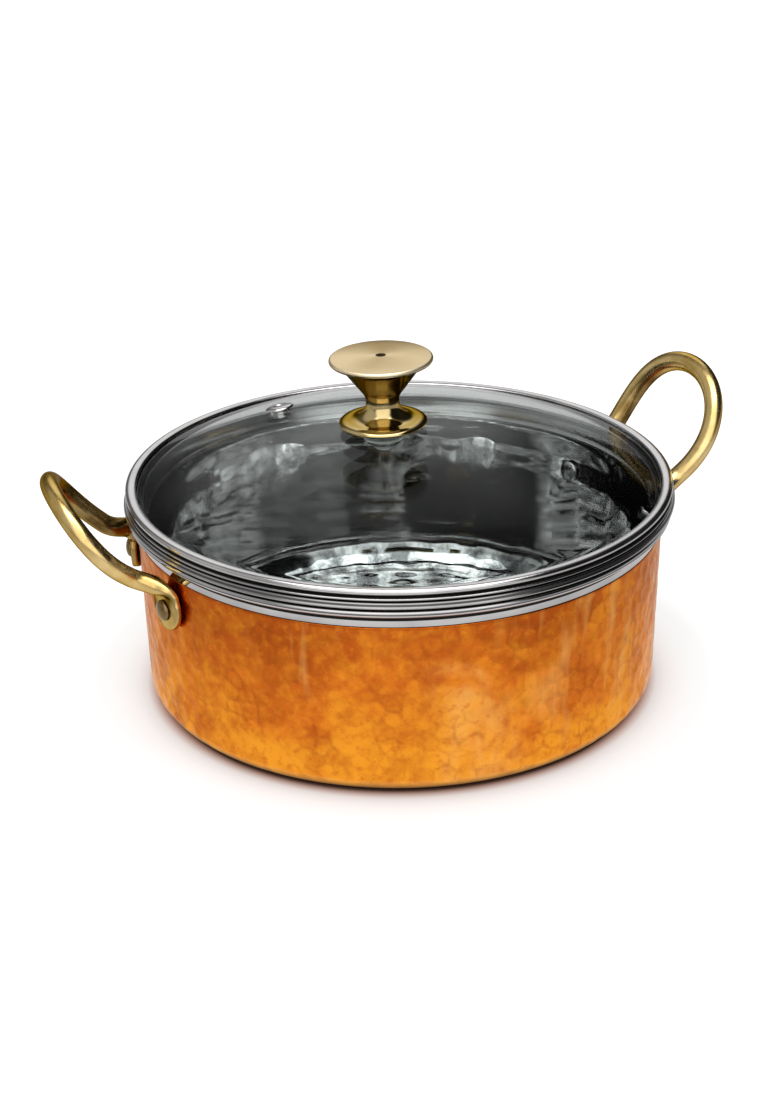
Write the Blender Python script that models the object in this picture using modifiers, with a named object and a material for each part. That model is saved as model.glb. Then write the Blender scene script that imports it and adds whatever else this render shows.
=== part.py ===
"""Round two-handled pan of hammered copper over a steel liner, with a glass lid.

Metres, +Z up. The origin is the centre of the base's underside. The handles lie
along X, the left one at -X, and the lid's steam vent is towards +Y. Every lid piece
hangs from an empty on the pan's rim, and lifts off along +Z.
"""
import math

import bmesh
import bpy
from mathutils import Matrix, Vector

# Clearances
GAP = 0.0003                    # between pieces that touch on the real pan
SKIRT_CLEARANCE = 0.0005        # lid's locating skirt inside the liner
HOLE_CLEARANCE = 0.0003         # round a rivet, screw or eyelet in its hole
CUT_OVERRUN = 0.0010            # how far a cutter runs past what it cuts

# Copper shell
PAN_RADIUS = 0.0916             # outside of the copper at its top edge
PAN_TAPER = 0.0012              # how much smaller it is at the bottom corner
COPPER_HEIGHT = 0.0614
COPPER_WALL = 0.0009
COPPER_CORNER = 0.0065          # outside radius of the bottom corner

# Steel liner
LINER_WALL = 0.0009
LINER_CORNER = 0.0125           # inside radius of the bottom corner
BAND_HEIGHT = 0.0022            # bare steel above the copper's edge
RIM_NECK = 0.0021               # from the band up to the rolled rim
RIM_ROLL = 0.0015               # radius of the roll's section
RIM_OVERHANG = 0.0034           # rolled rim beyond the copper

# Lid ring, heights above the pan's rim
LID_HEIGHT = 0.0071
LID_BEAD = 0.0017               # half the width of the top bead's section
LID_BEAD_RISE = 0.0012          # half its height
LID_FACE = 0.0038               # from the bead's outside in to the bare glass
LID_LIP = 0.0008                # thickness of the bead's lip over the glass
LID_GROOVE = 0.0009             # depth of the two grooves below the bead
LID_RIDGE = 0.0005              # half the height of the ridge between the grooves
LID_RIDGE_HEIGHT = 0.0036
LID_SKIRT_TOP = 0.0026
LID_SKIRT_BOTTOM = 0.0007
LID_SKIRT_OVERHANG = 0.0008     # skirt's lower edge beyond the rim
LID_SKIRT_ROUND = 0.0004
LOCATOR_DEPTH = 0.0051          # locating skirt below the rim
LOCATOR_WALL = 0.0008

# Lid glass
GLASS_INSET = 0.0027            # glass edge inside the bead's outside
GLASS_THICKNESS = 0.0040
GLASS_RISE = 0.0183             # crown above the bare glass's edge

# Steam vent
VENT_DISTANCE = 0.0565          # from the lid's axis
VENT_ANGLE = math.radians(117)
VENT_BORE = 0.0019
VENT_TUBE = 0.0032
VENT_FLANGE = 0.0054
VENT_FLANGE_HEIGHT = 0.0011
VENT_FOOT = 0.0045
VENT_FOOT_HEIGHT = 0.0007

# Knob, heights above its base
KNOB_DISTANCE = 0.0050          # the knob stands a little off the lid's axis
KNOB_ANGLE = math.radians(158)
KNOB_HEIGHT = 0.0247
KNOB_CROWN = 0.0006             # rise of the top over its edge
KNOB_CROWN_SHARES = (0.35, 0.70)
KNOB_DISC_RADIUS = 0.0179
KNOB_DISC_EDGE = 0.0018
KNOB_SHOULDER_RADIUS = 0.0133
KNOB_SHOULDER_DROP = 0.0022     # below the disc's lower edge
KNOB_NECK_RADIUS = 0.00575
KNOB_NECK_HEIGHT = 0.0081
KNOB_NECK_FILLET = 0.0060
KNOB_BASE_RADIUS = 0.0153
KNOB_BASE_EDGE = 0.0012
KNOB_DIMPLE_RADIUS = 0.0016
KNOB_DIMPLE_DEPTH = 0.0007
KNOB_DIMPLE_FLOOR_SHARE = 0.7
KNOB_BORE_DEPTH = 0.0115

# Knob's fastening
GASKET_RADIUS = 0.0070
GASKET_THICKNESS = 0.0008
WASHER_RADIUS = 0.0060
WASHER_THICKNESS = 0.0010
SCREW_RADIUS = 0.0020
SCREW_HEAD_RADIUS = 0.0044
SCREW_HEAD_HEIGHT = 0.0026
SCREW_SLOT_WIDTH = 0.0010
SCREW_SLOT_DEPTH = 0.0012
SCREW_TIP_CLEARANCE = 0.0015
SCREW_TIP_SHARE = 0.7           # flat of the tip, of the screw's radius

# Handles
ROD_HALF_WIDTH = 0.0036         # of the rod's section, in the loop's own surface
ROD_HALF_HEIGHT = 0.0032        # square to that surface
EAR_RADIUS = 0.0080
EAR_LIFT = 0.0010               # ear's middle above its rivet
EAR_THICKNESS = 0.0030
EAR_SQUARE_SHARE = 0.5          # 1 is a round section, 0 a square one
RIVET_DROP = 0.0114             # rivet below the copper's top edge
EAR_ANGLE = math.radians(16.5)    # rivet from the middle of its handle
ARM_RISE = 0.0079               # arm's root above the rivet
ARM_STANDOFF = 0.0026           # arm's root outside the copper
ARM_SPREAD = 0.0205             # half the distance between the arms' roots
LOOP_BULGE_SHARE = 0.80         # how much the loop swells on its way out
NECK_END_SHARE = 0.22           # part of the loop's reach taken up by the neck
NECK_EAR_PULL = 0.0048          # how far the neck runs on along the ear
NECK_ARM_PULL = 0.0070          # how far it runs in line with the arm
NECK_ROUND_SHARE = 0.42         # part of the neck in which it turns round
ROOT_ELEVATION = math.radians(26)
HANDLE_SETBACK = math.radians(4.7)
LEFT_REACH = 0.0397             # length of each loop, seen from the side
LEFT_LEAN = math.radians(58)
RIGHT_REACH = 0.0472
RIGHT_LEAN = math.radians(66.5)

# Rivets
RIVET_RADIUS = 0.0024
RIVET_HEAD_RADIUS = 0.0036
RIVET_HEAD_HEIGHT = 0.0018
RIVET_TAIL_RADIUS = 0.0040
RIVET_TAIL_HEIGHT = 0.0012

# Smoothness, in counts
PAN_STEPS = 60
KNOB_STEPS = 32
SMALL_STEPS = 16
ROD_SIDES = 16
EAR_TURNS = (0, 15, 35, 55, 75, 90, 105, 120)   # degrees round the ear's edge
NECK_COUNT = 9
LOOP_COUNT = 14
LOOP_SLICES = 60
GLASS_BANDS = 7
MERGE_DISTANCE = 0.00001

# Worked out from the sizes above
rim_radius = PAN_RADIUS + RIM_OVERHANG
band_bottom = COPPER_HEIGHT + GAP
band_top = band_bottom + BAND_HEIGHT
rim_height = band_top + RIM_NECK + 2 * RIM_ROLL
roll_middle = rim_radius - RIM_ROLL
liner_offset = COPPER_WALL + GAP
liner_inside = PAN_RADIUS - liner_offset - LINER_WALL
floor_height = liner_offset + LINER_WALL

glass_opening = rim_radius - LID_FACE
glass_edge_height = LID_HEIGHT - LID_LIP - GAP
glass_radius = rim_radius - GLASS_INSET
dome_radius = (glass_opening ** 2 + GLASS_RISE ** 2) / (2 * GLASS_RISE)
crown_height = glass_edge_height + GLASS_RISE
knob_seat = GAP + GASKET_THICKNESS + GAP

rivet_height = COPPER_HEIGHT - RIVET_DROP


def copper_radius(height):
    """Outside radius of the copper wall at a height above the corner."""
    share = (height - COPPER_CORNER) / (COPPER_HEIGHT - COPPER_CORNER)
    return PAN_RADIUS - PAN_TAPER * (1 - share)


def glass_top(radius):
    """Height of the glass's upper face above the rim, at a distance from the axis."""
    return crown_height - dome_radius + math.sqrt(dome_radius ** 2 - radius ** 2)


# Tools

def new_material(name, colour, metallic, roughness, alpha=1.0):
    material = bpy.data.materials.new(name)
    material.use_nodes = True
    shader = material.node_tree.nodes["Principled BSDF"]
    shader.inputs["Base Color"].default_value = (*colour, 1.0)
    shader.inputs["Metallic"].default_value = metallic
    shader.inputs["Roughness"].default_value = roughness
    shader.inputs["Alpha"].default_value = alpha
    return material


def arc(middle, radius, start, end, count, height=None):
    """Points on a circle or, with a height, on an ellipse. Angles in degrees."""
    points = []
    for step in range(count + 1):
        angle = math.radians(start + (end - start) * step / count)
        r = middle[0] + radius * math.cos(angle)
        z = middle[1] + (radius if height is None else height) * math.sin(angle)
        points.append((r, z))
    return points


def turned(name, outline, material, collection, parent, steps, closed=False):
    """A solid of revolution round Z. The outline runs down the piece's outer side."""
    mesh = bpy.data.meshes.new(name)
    edges = [(i, i + 1) for i in range(len(outline) - 1)]
    if closed:
        edges.append((len(outline) - 1, 0))
    mesh.from_pydata([(r, 0, z) for r, z in outline], edges, [])
    piece = bpy.data.objects.new(name, mesh)
    collection.objects.link(piece)
    piece.parent = parent
    mesh.materials.append(material)
    screw = piece.modifiers.new("Turn", "SCREW")
    screw.axis = "Z"
    screw.angle = math.tau
    screw.steps = steps
    screw.render_steps = steps
    screw.use_merge_vertices = True
    screw.merge_threshold = MERGE_DISTANCE
    return piece


def cut(piece, cutter):
    boolean = piece.modifiers.new("Cut", "BOOLEAN")
    boolean.operation = "DIFFERENCE"
    boolean.solver = "EXACT"
    boolean.object = cutter


def new_cutter(name, mesh_maker, matrix, collection):
    mesh = bpy.data.meshes.new(name)
    shape = bmesh.new()
    mesh_maker(shape)
    shape.to_mesh(mesh)
    shape.free()
    cutter = bpy.data.objects.new(name, mesh)
    collection.objects.link(cutter)
    cutter.matrix_world = matrix
    cutter.hide_render = True
    cutter.display_type = "WIRE"
    return cutter


def cylinder_cutter(name, radius, bottom, top, matrix, collection):
    def make(shape):
        bmesh.ops.create_cone(
            shape, cap_ends=True, segments=SMALL_STEPS, radius1=radius, radius2=radius,
            depth=top - bottom, matrix=Matrix.Translation((0, 0, (top + bottom) / 2)))
    return new_cutter(name, make, matrix, collection)


def new_empty(name, location, parent, collection):
    empty = bpy.data.objects.new(name, None)
    empty.location = location
    empty.parent = parent
    collection.objects.link(empty)
    return empty


# Pan

def make_copper_shell(material, parts, parent):
    corner_middle = (PAN_RADIUS - PAN_TAPER - COPPER_CORNER, COPPER_CORNER)
    inner_corner = COPPER_CORNER - COPPER_WALL
    outer = [(PAN_RADIUS, COPPER_HEIGHT)]
    outer += arc(corner_middle, COPPER_CORNER, 0, -90, 5)
    outer += [(0, 0)]
    inner = [(0, COPPER_WALL)]
    inner += arc(corner_middle, inner_corner, -90, 0, 5)
    inner += [(PAN_RADIUS - COPPER_WALL, COPPER_HEIGHT)]
    return turned("copper_shell", inner + outer, material, parts, parent, PAN_STEPS)


def make_inner_pan(material, parts, parent):
    """Liner whose wall steps out over the copper's edge and ends in a rolled rim."""
    base_inside = liner_inside - PAN_TAPER
    corner_middle = (base_inside - LINER_CORNER, floor_height + LINER_CORNER)
    flare_bottom = band_top
    flare_middle = (roll_middle, flare_bottom)
    roll_centre = (roll_middle, rim_height - RIM_ROLL)
    outline = [(0, floor_height)]
    outline += arc(corner_middle, LINER_CORNER, -90, 0, 5)
    outline += arc(flare_middle, roll_middle - liner_inside, 180, 90, 4,
                   rim_height - flare_bottom)
    outline += arc(roll_centre, RIM_ROLL, 90, -125, 7)[1:]
    outline += [(PAN_RADIUS, band_top)]
    outline += [(PAN_RADIUS, band_bottom)]
    outline += [(PAN_RADIUS - liner_offset, band_bottom)]
    outline += arc(corner_middle, LINER_CORNER + LINER_WALL, 0, -90, 5)
    outline += [(0, liner_offset)]
    return turned("inner_pan", outline, material, parts, parent, PAN_STEPS)


# Handles and rivets

def loop_point(share, reach, lean):
    """Point of a handle's loop: distance out, distance to the side, height."""
    turn = math.asin(share)
    side = ARM_SPREAD * math.cos(turn) * (1 + LOOP_BULGE_SHARE * share)
    out = copper_radius(rivet_height) + ARM_STANDOFF
    height = rivet_height + ARM_RISE
    slice_length = reach * share / LOOP_SLICES
    for step in range(LOOP_SLICES):
        elevation = lean - (lean - ROOT_ELEVATION) * (1 - share * step / LOOP_SLICES) ** 2
        out += slice_length * math.cos(elevation)
        height += slice_length * math.sin(elevation)
    return Vector((out, side, height))


def ease(value):
    return value * value * (3 - 2 * value)


def handle_stations(reach, lean):
    """Centres, half widths, half thicknesses and squareness from ear to loop's top."""
    flat = EAR_THICKNESS / 2
    wall = copper_radius(rivet_height)
    outward = Vector((math.cos(EAR_ANGLE), math.sin(EAR_ANGLE), 0))
    ear_middle = outward * (wall + GAP + flat) + Vector((0, 0, rivet_height + EAR_LIFT))
    stations = []
    for degrees in EAR_TURNS:
        turn = math.radians(degrees)
        centre = ear_middle - Vector((0, 0, EAR_RADIUS * math.cos(turn)))
        stations.append((centre, EAR_RADIUS * math.sin(turn), flat, EAR_SQUARE_SHARE))
    start = stations[-1][0]
    start_width = stations[-1][1]
    end = loop_point(NECK_END_SHARE, reach, lean)
    beyond = loop_point(NECK_END_SHARE + 1 / LOOP_SLICES, reach, lean)
    arm_direction = (beyond - end).normalized()
    pull_up = start + Vector((0, 0, NECK_EAR_PULL))
    pull_back = end - arm_direction * NECK_ARM_PULL
    for step in range(1, NECK_COUNT):
        t = step / NECK_COUNT
        centre = (start * (1 - t) ** 3 + pull_up * 3 * t * (1 - t) ** 2
                  + pull_back * 3 * t * t * (1 - t) + end * t ** 3)
        blend = ease(min(1, t / NECK_ROUND_SHARE))
        width = start_width + (ROD_HALF_WIDTH - start_width) * blend
        thick = flat + (ROD_HALF_HEIGHT - flat) * blend
        centre = centre + outward * (thick - flat) * (1 - t)
        square = EAR_SQUARE_SHARE + (1 - EAR_SQUARE_SHARE) * blend
        stations.append((centre, width, thick, square))
    first_turn = math.asin(NECK_END_SHARE)
    for step in range(LOOP_COUNT + 1):
        turn = first_turn + (math.pi / 2 - first_turn) * step / LOOP_COUNT
        centre = loop_point(math.sin(turn), reach, lean)
        if step == LOOP_COUNT:
            centre.y = 0
        stations.append((centre, ROD_HALF_WIDTH, ROD_HALF_HEIGHT, 1))
    return stations


def signed_power(value, power):
    return math.copysign(abs(value) ** power, value)


def make_handle(name, reach, lean, angle, material, parts, parent):
    """Half a handle, from its ear to the loop's top, mirrored across its middle."""
    stations = handle_stations(reach, lean)
    across = Vector((-math.sin(EAR_ANGLE), math.cos(EAR_ANGLE), 0))
    shape = bmesh.new()
    tip = shape.verts.new(stations[0][0])
    rings = []
    for index in range(1, len(stations)):
        centre, width, thick, squareness = stations[index]
        if index == len(stations) - 1:
            tangent = Vector((0, -1, 0))
        else:
            tangent = (stations[index + 1][0] - stations[index - 1][0]).normalized()
        across = (across - tangent * across.dot(tangent)).normalized()
        normal = across.cross(tangent)
        ring = []
        for side in range(ROD_SIDES):
            turn = math.tau * side / ROD_SIDES
            x = width * signed_power(math.cos(turn), squareness)
            y = thick * signed_power(math.sin(turn), squareness)
            ring.append(shape.verts.new(centre + across * x + normal * y))
        rings.append(ring)
    for side in range(ROD_SIDES):
        after = (side + 1) % ROD_SIDES
        shape.faces.new((tip, rings[0][after], rings[0][side]))
        for lower, upper in zip(rings, rings[1:]):
            shape.faces.new((lower[side], lower[after], upper[after], upper[side]))
    mesh = bpy.data.meshes.new(name)
    shape.to_mesh(mesh)
    shape.free()
    mesh.shade_smooth()
    mesh.materials.append(material)
    handle = bpy.data.objects.new(name, mesh)
    parts.objects.link(handle)
    handle.parent = parent
    handle.rotation_euler = (0, 0, angle)
    mirror = handle.modifiers.new("Other half", "MIRROR")
    mirror.use_axis = (False, True, False)
    mirror.use_clip = True
    mirror.merge_threshold = MERGE_DISTANCE
    return handle


def rivet_matrix(angle):
    """Frame of a rivet: its Z axis points outwards, its origin on the copper."""
    place = Matrix.Rotation(angle, 4, "Z")
    place @= Matrix.Translation((copper_radius(rivet_height), 0, rivet_height))
    return place @ Matrix.Rotation(math.radians(90), 4, "Y")


def make_rivet(name, angle, material, parts, parent):
    ear_face = GAP + EAR_THICKNESS + GAP
    tail_face = -(liner_offset + LINER_WALL + GAP)
    outline = arc((0, ear_face), RIVET_HEAD_RADIUS, 90, 0, 5, RIVET_HEAD_HEIGHT)
    outline += [(RIVET_RADIUS, ear_face)]
    outline += [(RIVET_RADIUS, tail_face)]
    outline += arc((0, tail_face), RIVET_TAIL_RADIUS, 0, -90, 4, RIVET_TAIL_HEIGHT)
    rivet = turned(name, outline, material, parts, parent, SMALL_STEPS)
    rivet.matrix_local = rivet_matrix(angle)
    return rivet


# Lid

def make_lid_ring(material, parts, parent):
    """Ring that grips the glass, rests on the rim and locates inside the liner."""
    bead_middle = (rim_radius - LID_BEAD, LID_HEIGHT - LID_BEAD_RISE)
    groove_radius = rim_radius - LID_GROOVE
    ridge_middle = (groove_radius, LID_RIDGE_HEIGHT)
    skirt_radius = rim_radius + LID_SKIRT_OVERHANG
    skirt_corner = (skirt_radius - LID_SKIRT_ROUND, LID_SKIRT_BOTTOM + LID_SKIRT_ROUND)
    channel = glass_radius + GAP
    locator_outside = liner_inside - SKIRT_CLEARANCE
    locator_inside = locator_outside - LOCATOR_WALL
    outline = [(glass_opening, glass_edge_height + GAP)]
    outline += [(glass_opening, LID_HEIGHT - LID_LIP / 2)]
    outline += arc(bead_middle, LID_BEAD, 100, -35, 7, LID_BEAD_RISE)
    bead_bottom = LID_HEIGHT - 2 * LID_BEAD_RISE
    outline += [(groove_radius, (bead_bottom + LID_RIDGE_HEIGHT + LID_RIDGE) / 2)]
    outline += arc(ridge_middle, LID_GROOVE, 70, -70, 3, LID_RIDGE)
    outline += [(groove_radius, (LID_RIDGE_HEIGHT - LID_RIDGE + LID_SKIRT_TOP) / 2)]
    outline += [(rim_radius, LID_SKIRT_TOP)]
    outline += arc(skirt_corner, LID_SKIRT_ROUND, 20, -90, 3)
    outline += [(roll_middle + RIM_ROLL / 2, LID_SKIRT_BOTTOM)]
    outline += [(roll_middle + RIM_ROLL / 2, GAP)]
    outline += [(locator_outside, GAP)]
    outline += [(locator_outside, -LOCATOR_DEPTH)]
    outline += [(locator_inside, -LOCATOR_DEPTH)]
    outline += [(locator_inside, glass_top(locator_inside) - GLASS_THICKNESS - GAP)]
    outline += [(channel, glass_top(channel) - GLASS_THICKNESS - GAP)]
    outline += [(channel, glass_top(channel) + GAP)]
    return turned("lid_ring", outline, material, parts, parent, PAN_STEPS, closed=True)


def make_lid_glass(material, parts, parent):
    radii = [glass_radius * step / GLASS_BANDS for step in range(GLASS_BANDS + 1)]
    outline = [(r, glass_top(r)) for r in radii]
    outline += [(r, glass_top(r) - GLASS_THICKNESS) for r in reversed(radii)]
    return turned("lid_glass", outline, material, parts, parent, PAN_STEPS)


def glass_frame(distance, angle):
    """Frame on the glass's upper face, in the lid: its Z axis is square to the glass."""
    slope = math.asin(distance / dome_radius)
    place = Matrix.Rotation(angle, 4, "Z")
    place @= Matrix.Translation((distance, 0, glass_top(distance)))
    return place @ Matrix.Rotation(slope, 4, "Y")


def make_vent(material, parts, parent):
    slope = math.asin(VENT_DISTANCE / dome_radius)
    under = -GLASS_THICKNESS * math.cos(slope) - GAP
    crown = GAP + VENT_FLANGE_HEIGHT
    outline = [(VENT_BORE, crown)]
    outline += arc((VENT_TUBE, GAP), VENT_FLANGE - VENT_TUBE, 90, 0, 5, VENT_FLANGE_HEIGHT)
    outline += [(VENT_TUBE, GAP)]
    outline += [(VENT_TUBE, under)]
    outline += [(VENT_FOOT, under)]
    outline += [(VENT_FOOT, under - VENT_FOOT_HEIGHT / 2)]
    outline += [(VENT_TUBE, under - VENT_FOOT_HEIGHT)]
    outline += [(VENT_BORE, under - VENT_FOOT_HEIGHT)]
    vent = turned("vent_eyelet", outline, material, parts, parent, SMALL_STEPS, closed=True)
    vent.matrix_local = glass_frame(VENT_DISTANCE, VENT_ANGLE)
    return vent


def make_knob(material, parts, parent):
    edge_top = KNOB_HEIGHT - KNOB_CROWN
    edge_round = KNOB_DISC_EDGE / 2
    edge_bottom = edge_top - KNOB_DISC_EDGE
    bore = SCREW_RADIUS + HOLE_CLEARANCE
    outline = [(0, KNOB_HEIGHT - KNOB_DIMPLE_DEPTH)]
    outline += [(KNOB_DIMPLE_RADIUS * KNOB_DIMPLE_FLOOR_SHARE, KNOB_HEIGHT - KNOB_DIMPLE_DEPTH)]
    outline += [(KNOB_DIMPLE_RADIUS, KNOB_HEIGHT)]
    for share in KNOB_CROWN_SHARES:
        outline += [(KNOB_DISC_RADIUS * share, KNOB_HEIGHT - KNOB_CROWN * share * share)]
    outline += arc((KNOB_DISC_RADIUS - edge_round, edge_top - edge_round), edge_round, 90, -90, 6)
    outline += [(KNOB_SHOULDER_RADIUS, edge_bottom - KNOB_SHOULDER_DROP)]
    neck_middle = (KNOB_NECK_RADIUS + KNOB_NECK_FILLET, KNOB_NECK_HEIGHT)
    outline += arc(neck_middle, KNOB_NECK_FILLET, 135, 180, 4)
    flare_middle = (KNOB_BASE_RADIUS, KNOB_NECK_HEIGHT)
    flare = KNOB_BASE_RADIUS - KNOB_NECK_RADIUS
    outline += arc(flare_middle, flare, 180, 270, 7, KNOB_NECK_HEIGHT - KNOB_BASE_EDGE)[1:]
    outline += [(KNOB_BASE_RADIUS, 0)]
    outline += [(bore, 0)]
    outline += [(bore, KNOB_BORE_DEPTH)]
    outline += [(0, KNOB_BORE_DEPTH)]
    knob = turned("knob", outline, material, parts, parent, KNOB_STEPS)
    knob.matrix_local = glass_frame(KNOB_DISTANCE, KNOB_ANGLE) @ Matrix.Translation((0, 0, knob_seat))
    return knob


def make_disc(name, radius, bottom, top, material, parts, parent):
    """A flat washer round the knob's screw. Heights are above the glass's upper face."""
    hole = SCREW_RADIUS + HOLE_CLEARANCE
    outline = [(hole, top), (radius, top), (radius, bottom), (hole, bottom)]
    disc = turned(name, outline, material, parts, parent, SMALL_STEPS, closed=True)
    disc.matrix_local = glass_frame(KNOB_DISTANCE, KNOB_ANGLE)
    return disc


def make_screw(top_of_head, material, parts, parent, cutters):
    tip = knob_seat + KNOB_BORE_DEPTH - SCREW_TIP_CLEARANCE
    outline = [(0, tip)]
    outline += [(SCREW_RADIUS * SCREW_TIP_SHARE, tip)]
    outline += [(SCREW_RADIUS, tip - SCREW_RADIUS * (1 - SCREW_TIP_SHARE))]
    outline += [(SCREW_RADIUS, top_of_head)]
    outline += [(SCREW_HEAD_RADIUS, top_of_head)]
    outline += arc((0, top_of_head), SCREW_HEAD_RADIUS, -20, -90, 5, SCREW_HEAD_HEIGHT)
    screw = turned("knob_screw", outline, material, parts, parent, SMALL_STEPS)
    screw.matrix_local = glass_frame(KNOB_DISTANCE, KNOB_ANGLE)

    def make(shape):
        bmesh.ops.create_cube(shape, size=1)
        size = (2 * (SCREW_HEAD_RADIUS + CUT_OVERRUN), SCREW_SLOT_WIDTH, 2 * SCREW_SLOT_DEPTH)
        bmesh.ops.scale(shape, vec=size, verts=shape.verts)

    slot_place = Matrix.Translation((0, 0, rim_height)) @ glass_frame(KNOB_DISTANCE, KNOB_ANGLE)
    slot_place @= Matrix.Translation((0, 0, top_of_head - SCREW_HEAD_HEIGHT))
    cut(screw, new_cutter("slot_cutter", make, slot_place, cutters))
    return screw


def main():
    for old in list(bpy.data.objects):
        bpy.data.objects.remove(old, do_unlink=True)
    scene = bpy.context.scene
    parts = bpy.data.collections.new("two_handled_pan")
    cutters = bpy.data.collections.new("cutters")
    scene.collection.children.link(parts)
    scene.collection.children.link(cutters)

    copper = new_material("hammered copper", (0.72, 0.27, 0.06), 1.0, 0.32)
    steel = new_material("polished steel", (0.62, 0.62, 0.63), 1.0, 0.14)
    brass = new_material("polished brass", (0.72, 0.50, 0.18), 1.0, 0.25)
    rivet_brass = new_material("dark brass", (0.40, 0.28, 0.12), 1.0, 0.35)
    glass = new_material("clear glass", (0.92, 0.96, 0.95), 0.0, 0.03, 0.35)
    silicone = new_material("clear silicone", (0.80, 0.80, 0.78), 0.0, 0.5)

    pan = new_empty("pan_body", (0, 0, 0), None, parts)
    lid = new_empty("lid_body", (0, 0, rim_height), None, parts)

    shell = make_copper_shell(copper, parts, pan)
    liner = make_inner_pan(steel, parts, pan)
    sides = (("left", math.pi - HANDLE_SETBACK, LEFT_REACH, LEFT_LEAN, 1),
             ("right", HANDLE_SETBACK, RIGHT_REACH, RIGHT_LEAN, -1))
    for side, angle, reach, lean, front in sides:
        handle = make_handle("handle_" + side, reach, lean, angle, brass, parts, pan)
        for place, way in (("front", front), ("back", -front)):
            rivet_angle = angle + way * EAR_ANGLE
            make_rivet(f"rivet_{side}_{place}", rivet_angle, rivet_brass, parts, pan)
            hole = cylinder_cutter(
                f"hole_{side}_{place}", RIVET_RADIUS + HOLE_CLEARANCE,
                -(liner_offset + LINER_WALL + CUT_OVERRUN), GAP + EAR_THICKNESS + CUT_OVERRUN,
                rivet_matrix(rivet_angle), cutters)
            for piece in (handle, shell, liner):
                cut(piece, hole)

    make_lid_ring(steel, parts, lid)
    pane = make_lid_glass(glass, parts, lid)
    make_vent(steel, parts, lid)
    for name, radius, distance, angle in (("vent_hole", VENT_TUBE, VENT_DISTANCE, VENT_ANGLE),
                                          ("screw_hole", SCREW_RADIUS, KNOB_DISTANCE, KNOB_ANGLE)):
        place = Matrix.Translation((0, 0, rim_height)) @ glass_frame(distance, angle)
        hole = cylinder_cutter(name, radius + HOLE_CLEARANCE, -GLASS_THICKNESS - CUT_OVERRUN,
                               CUT_OVERRUN, place, cutters)
        cut(pane, hole)

    make_knob(brass, parts, lid)
    make_disc("knob_gasket", GASKET_RADIUS, GAP, GAP + GASKET_THICKNESS, silicone, parts, lid)
    under_glass = -GLASS_THICKNESS - GAP
    seal_drop = glass_top(0) - glass_top(GASKET_RADIUS)
    seal_top = under_glass - seal_drop
    seal_bottom = seal_top - GASKET_THICKNESS
    make_disc("under_gasket", GASKET_RADIUS, seal_bottom, seal_top, silicone, parts, lid)
    washer_top = seal_bottom - GAP
    washer_bottom = washer_top - WASHER_THICKNESS
    make_disc("knob_washer", WASHER_RADIUS, washer_bottom, washer_top, steel, parts, lid)
    make_screw(washer_bottom - GAP, steel, parts, lid, cutters)


main()
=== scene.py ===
"""Finish, light and camera for the two-handled copper pan.

Metres, +Z up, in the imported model's own frame. An arc's angles are in degrees.
"""
import math
import random

import bmesh
import bpy
from mathutils import Matrix, Vector, kdtree, noise


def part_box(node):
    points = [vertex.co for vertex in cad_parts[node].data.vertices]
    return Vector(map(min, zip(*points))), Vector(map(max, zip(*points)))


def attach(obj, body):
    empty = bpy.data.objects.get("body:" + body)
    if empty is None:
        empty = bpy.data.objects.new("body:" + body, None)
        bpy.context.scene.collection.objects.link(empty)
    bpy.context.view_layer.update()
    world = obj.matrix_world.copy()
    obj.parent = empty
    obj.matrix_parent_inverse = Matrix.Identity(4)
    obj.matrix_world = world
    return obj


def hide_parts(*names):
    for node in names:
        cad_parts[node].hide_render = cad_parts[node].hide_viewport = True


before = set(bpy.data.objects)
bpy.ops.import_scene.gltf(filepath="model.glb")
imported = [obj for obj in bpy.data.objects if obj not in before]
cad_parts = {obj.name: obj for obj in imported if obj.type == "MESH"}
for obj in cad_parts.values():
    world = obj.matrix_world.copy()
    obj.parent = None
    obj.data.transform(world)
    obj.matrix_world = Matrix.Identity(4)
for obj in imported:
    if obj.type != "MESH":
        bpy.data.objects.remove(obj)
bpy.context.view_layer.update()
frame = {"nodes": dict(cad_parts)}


def direction(azimuth, elevation):
    """Unit vector away from the pan. Azimuth 0 is in front of it, at -Y, and 90 at +X."""
    a = math.radians(azimuth)
    e = math.radians(elevation)
    return Vector((math.sin(a) * math.cos(e), -math.cos(a) * math.cos(e), math.sin(e)))


# Camera, as it stood for the photo
SENSOR = 36                     # millimetres, the frame's long side
LENS = 67.38
CAMERA_AZIMUTH = math.radians(-22)
CAMERA_ELEVATION = math.radians(24.694)
CAMERA_ROLL = math.radians(-0.965)
CAMERA_DISTANCE = 0.741
CAMERA_RIGHT = -0.0037          # camera beside the line to its aim
CAMERA_UP = 0.01043
AIM_HEIGHT = 0.03325

# Ways across the floor, as the photo shows the pan
NEARER = direction(-22, 0)
ASIDE = direction(68, 0)
BEHIND = direction(158, 0)

# Floor. An edge says at which distances from the pan's axis a change starts and ends.
FLOOR_REACH = 6.0
FLOOR_ROUGHNESS = 0.9
FLOOR_SHADE = 0.25
FLOOR_GLOW = 0.74               # what the camera sees it add to the light it scatters,
NEAR_LIFT = 0.15                # and what it adds beyond the shadow
NEAR_LIFT_EDGE = (0.110, 0.125)
FAR_LIFT = 0.25
FAR_LIFT_EDGE = (0.25, 0.60)
FLOOR_SHEEN = 1.04              # how bright metal sees it: in front of the pan,
FLOOR_SHEEN_ASIDE = 0.80        # a share of that beside it,
ASIDE_EDGE = (0.06, 0.13)
FLOOR_SHEEN_BEHIND = 0.55       # behind it,
BEHIND_EDGE = (0.10, 0.20)
FLOOR_SHEEN_FAR = 0.50          # far off,
SHEEN_EDGE = (0.13, 0.50)
FLOOR_SHEEN_FOOT = 0.03         # and a share under the pan
FOOT_EDGE = (0.086, 0.092)
SHADOW_EDGE = (0.0872, 0.130)   # round the foot of the pan, where the glow fades out to a painted shadow
SHADOW_POWER = 9
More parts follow.
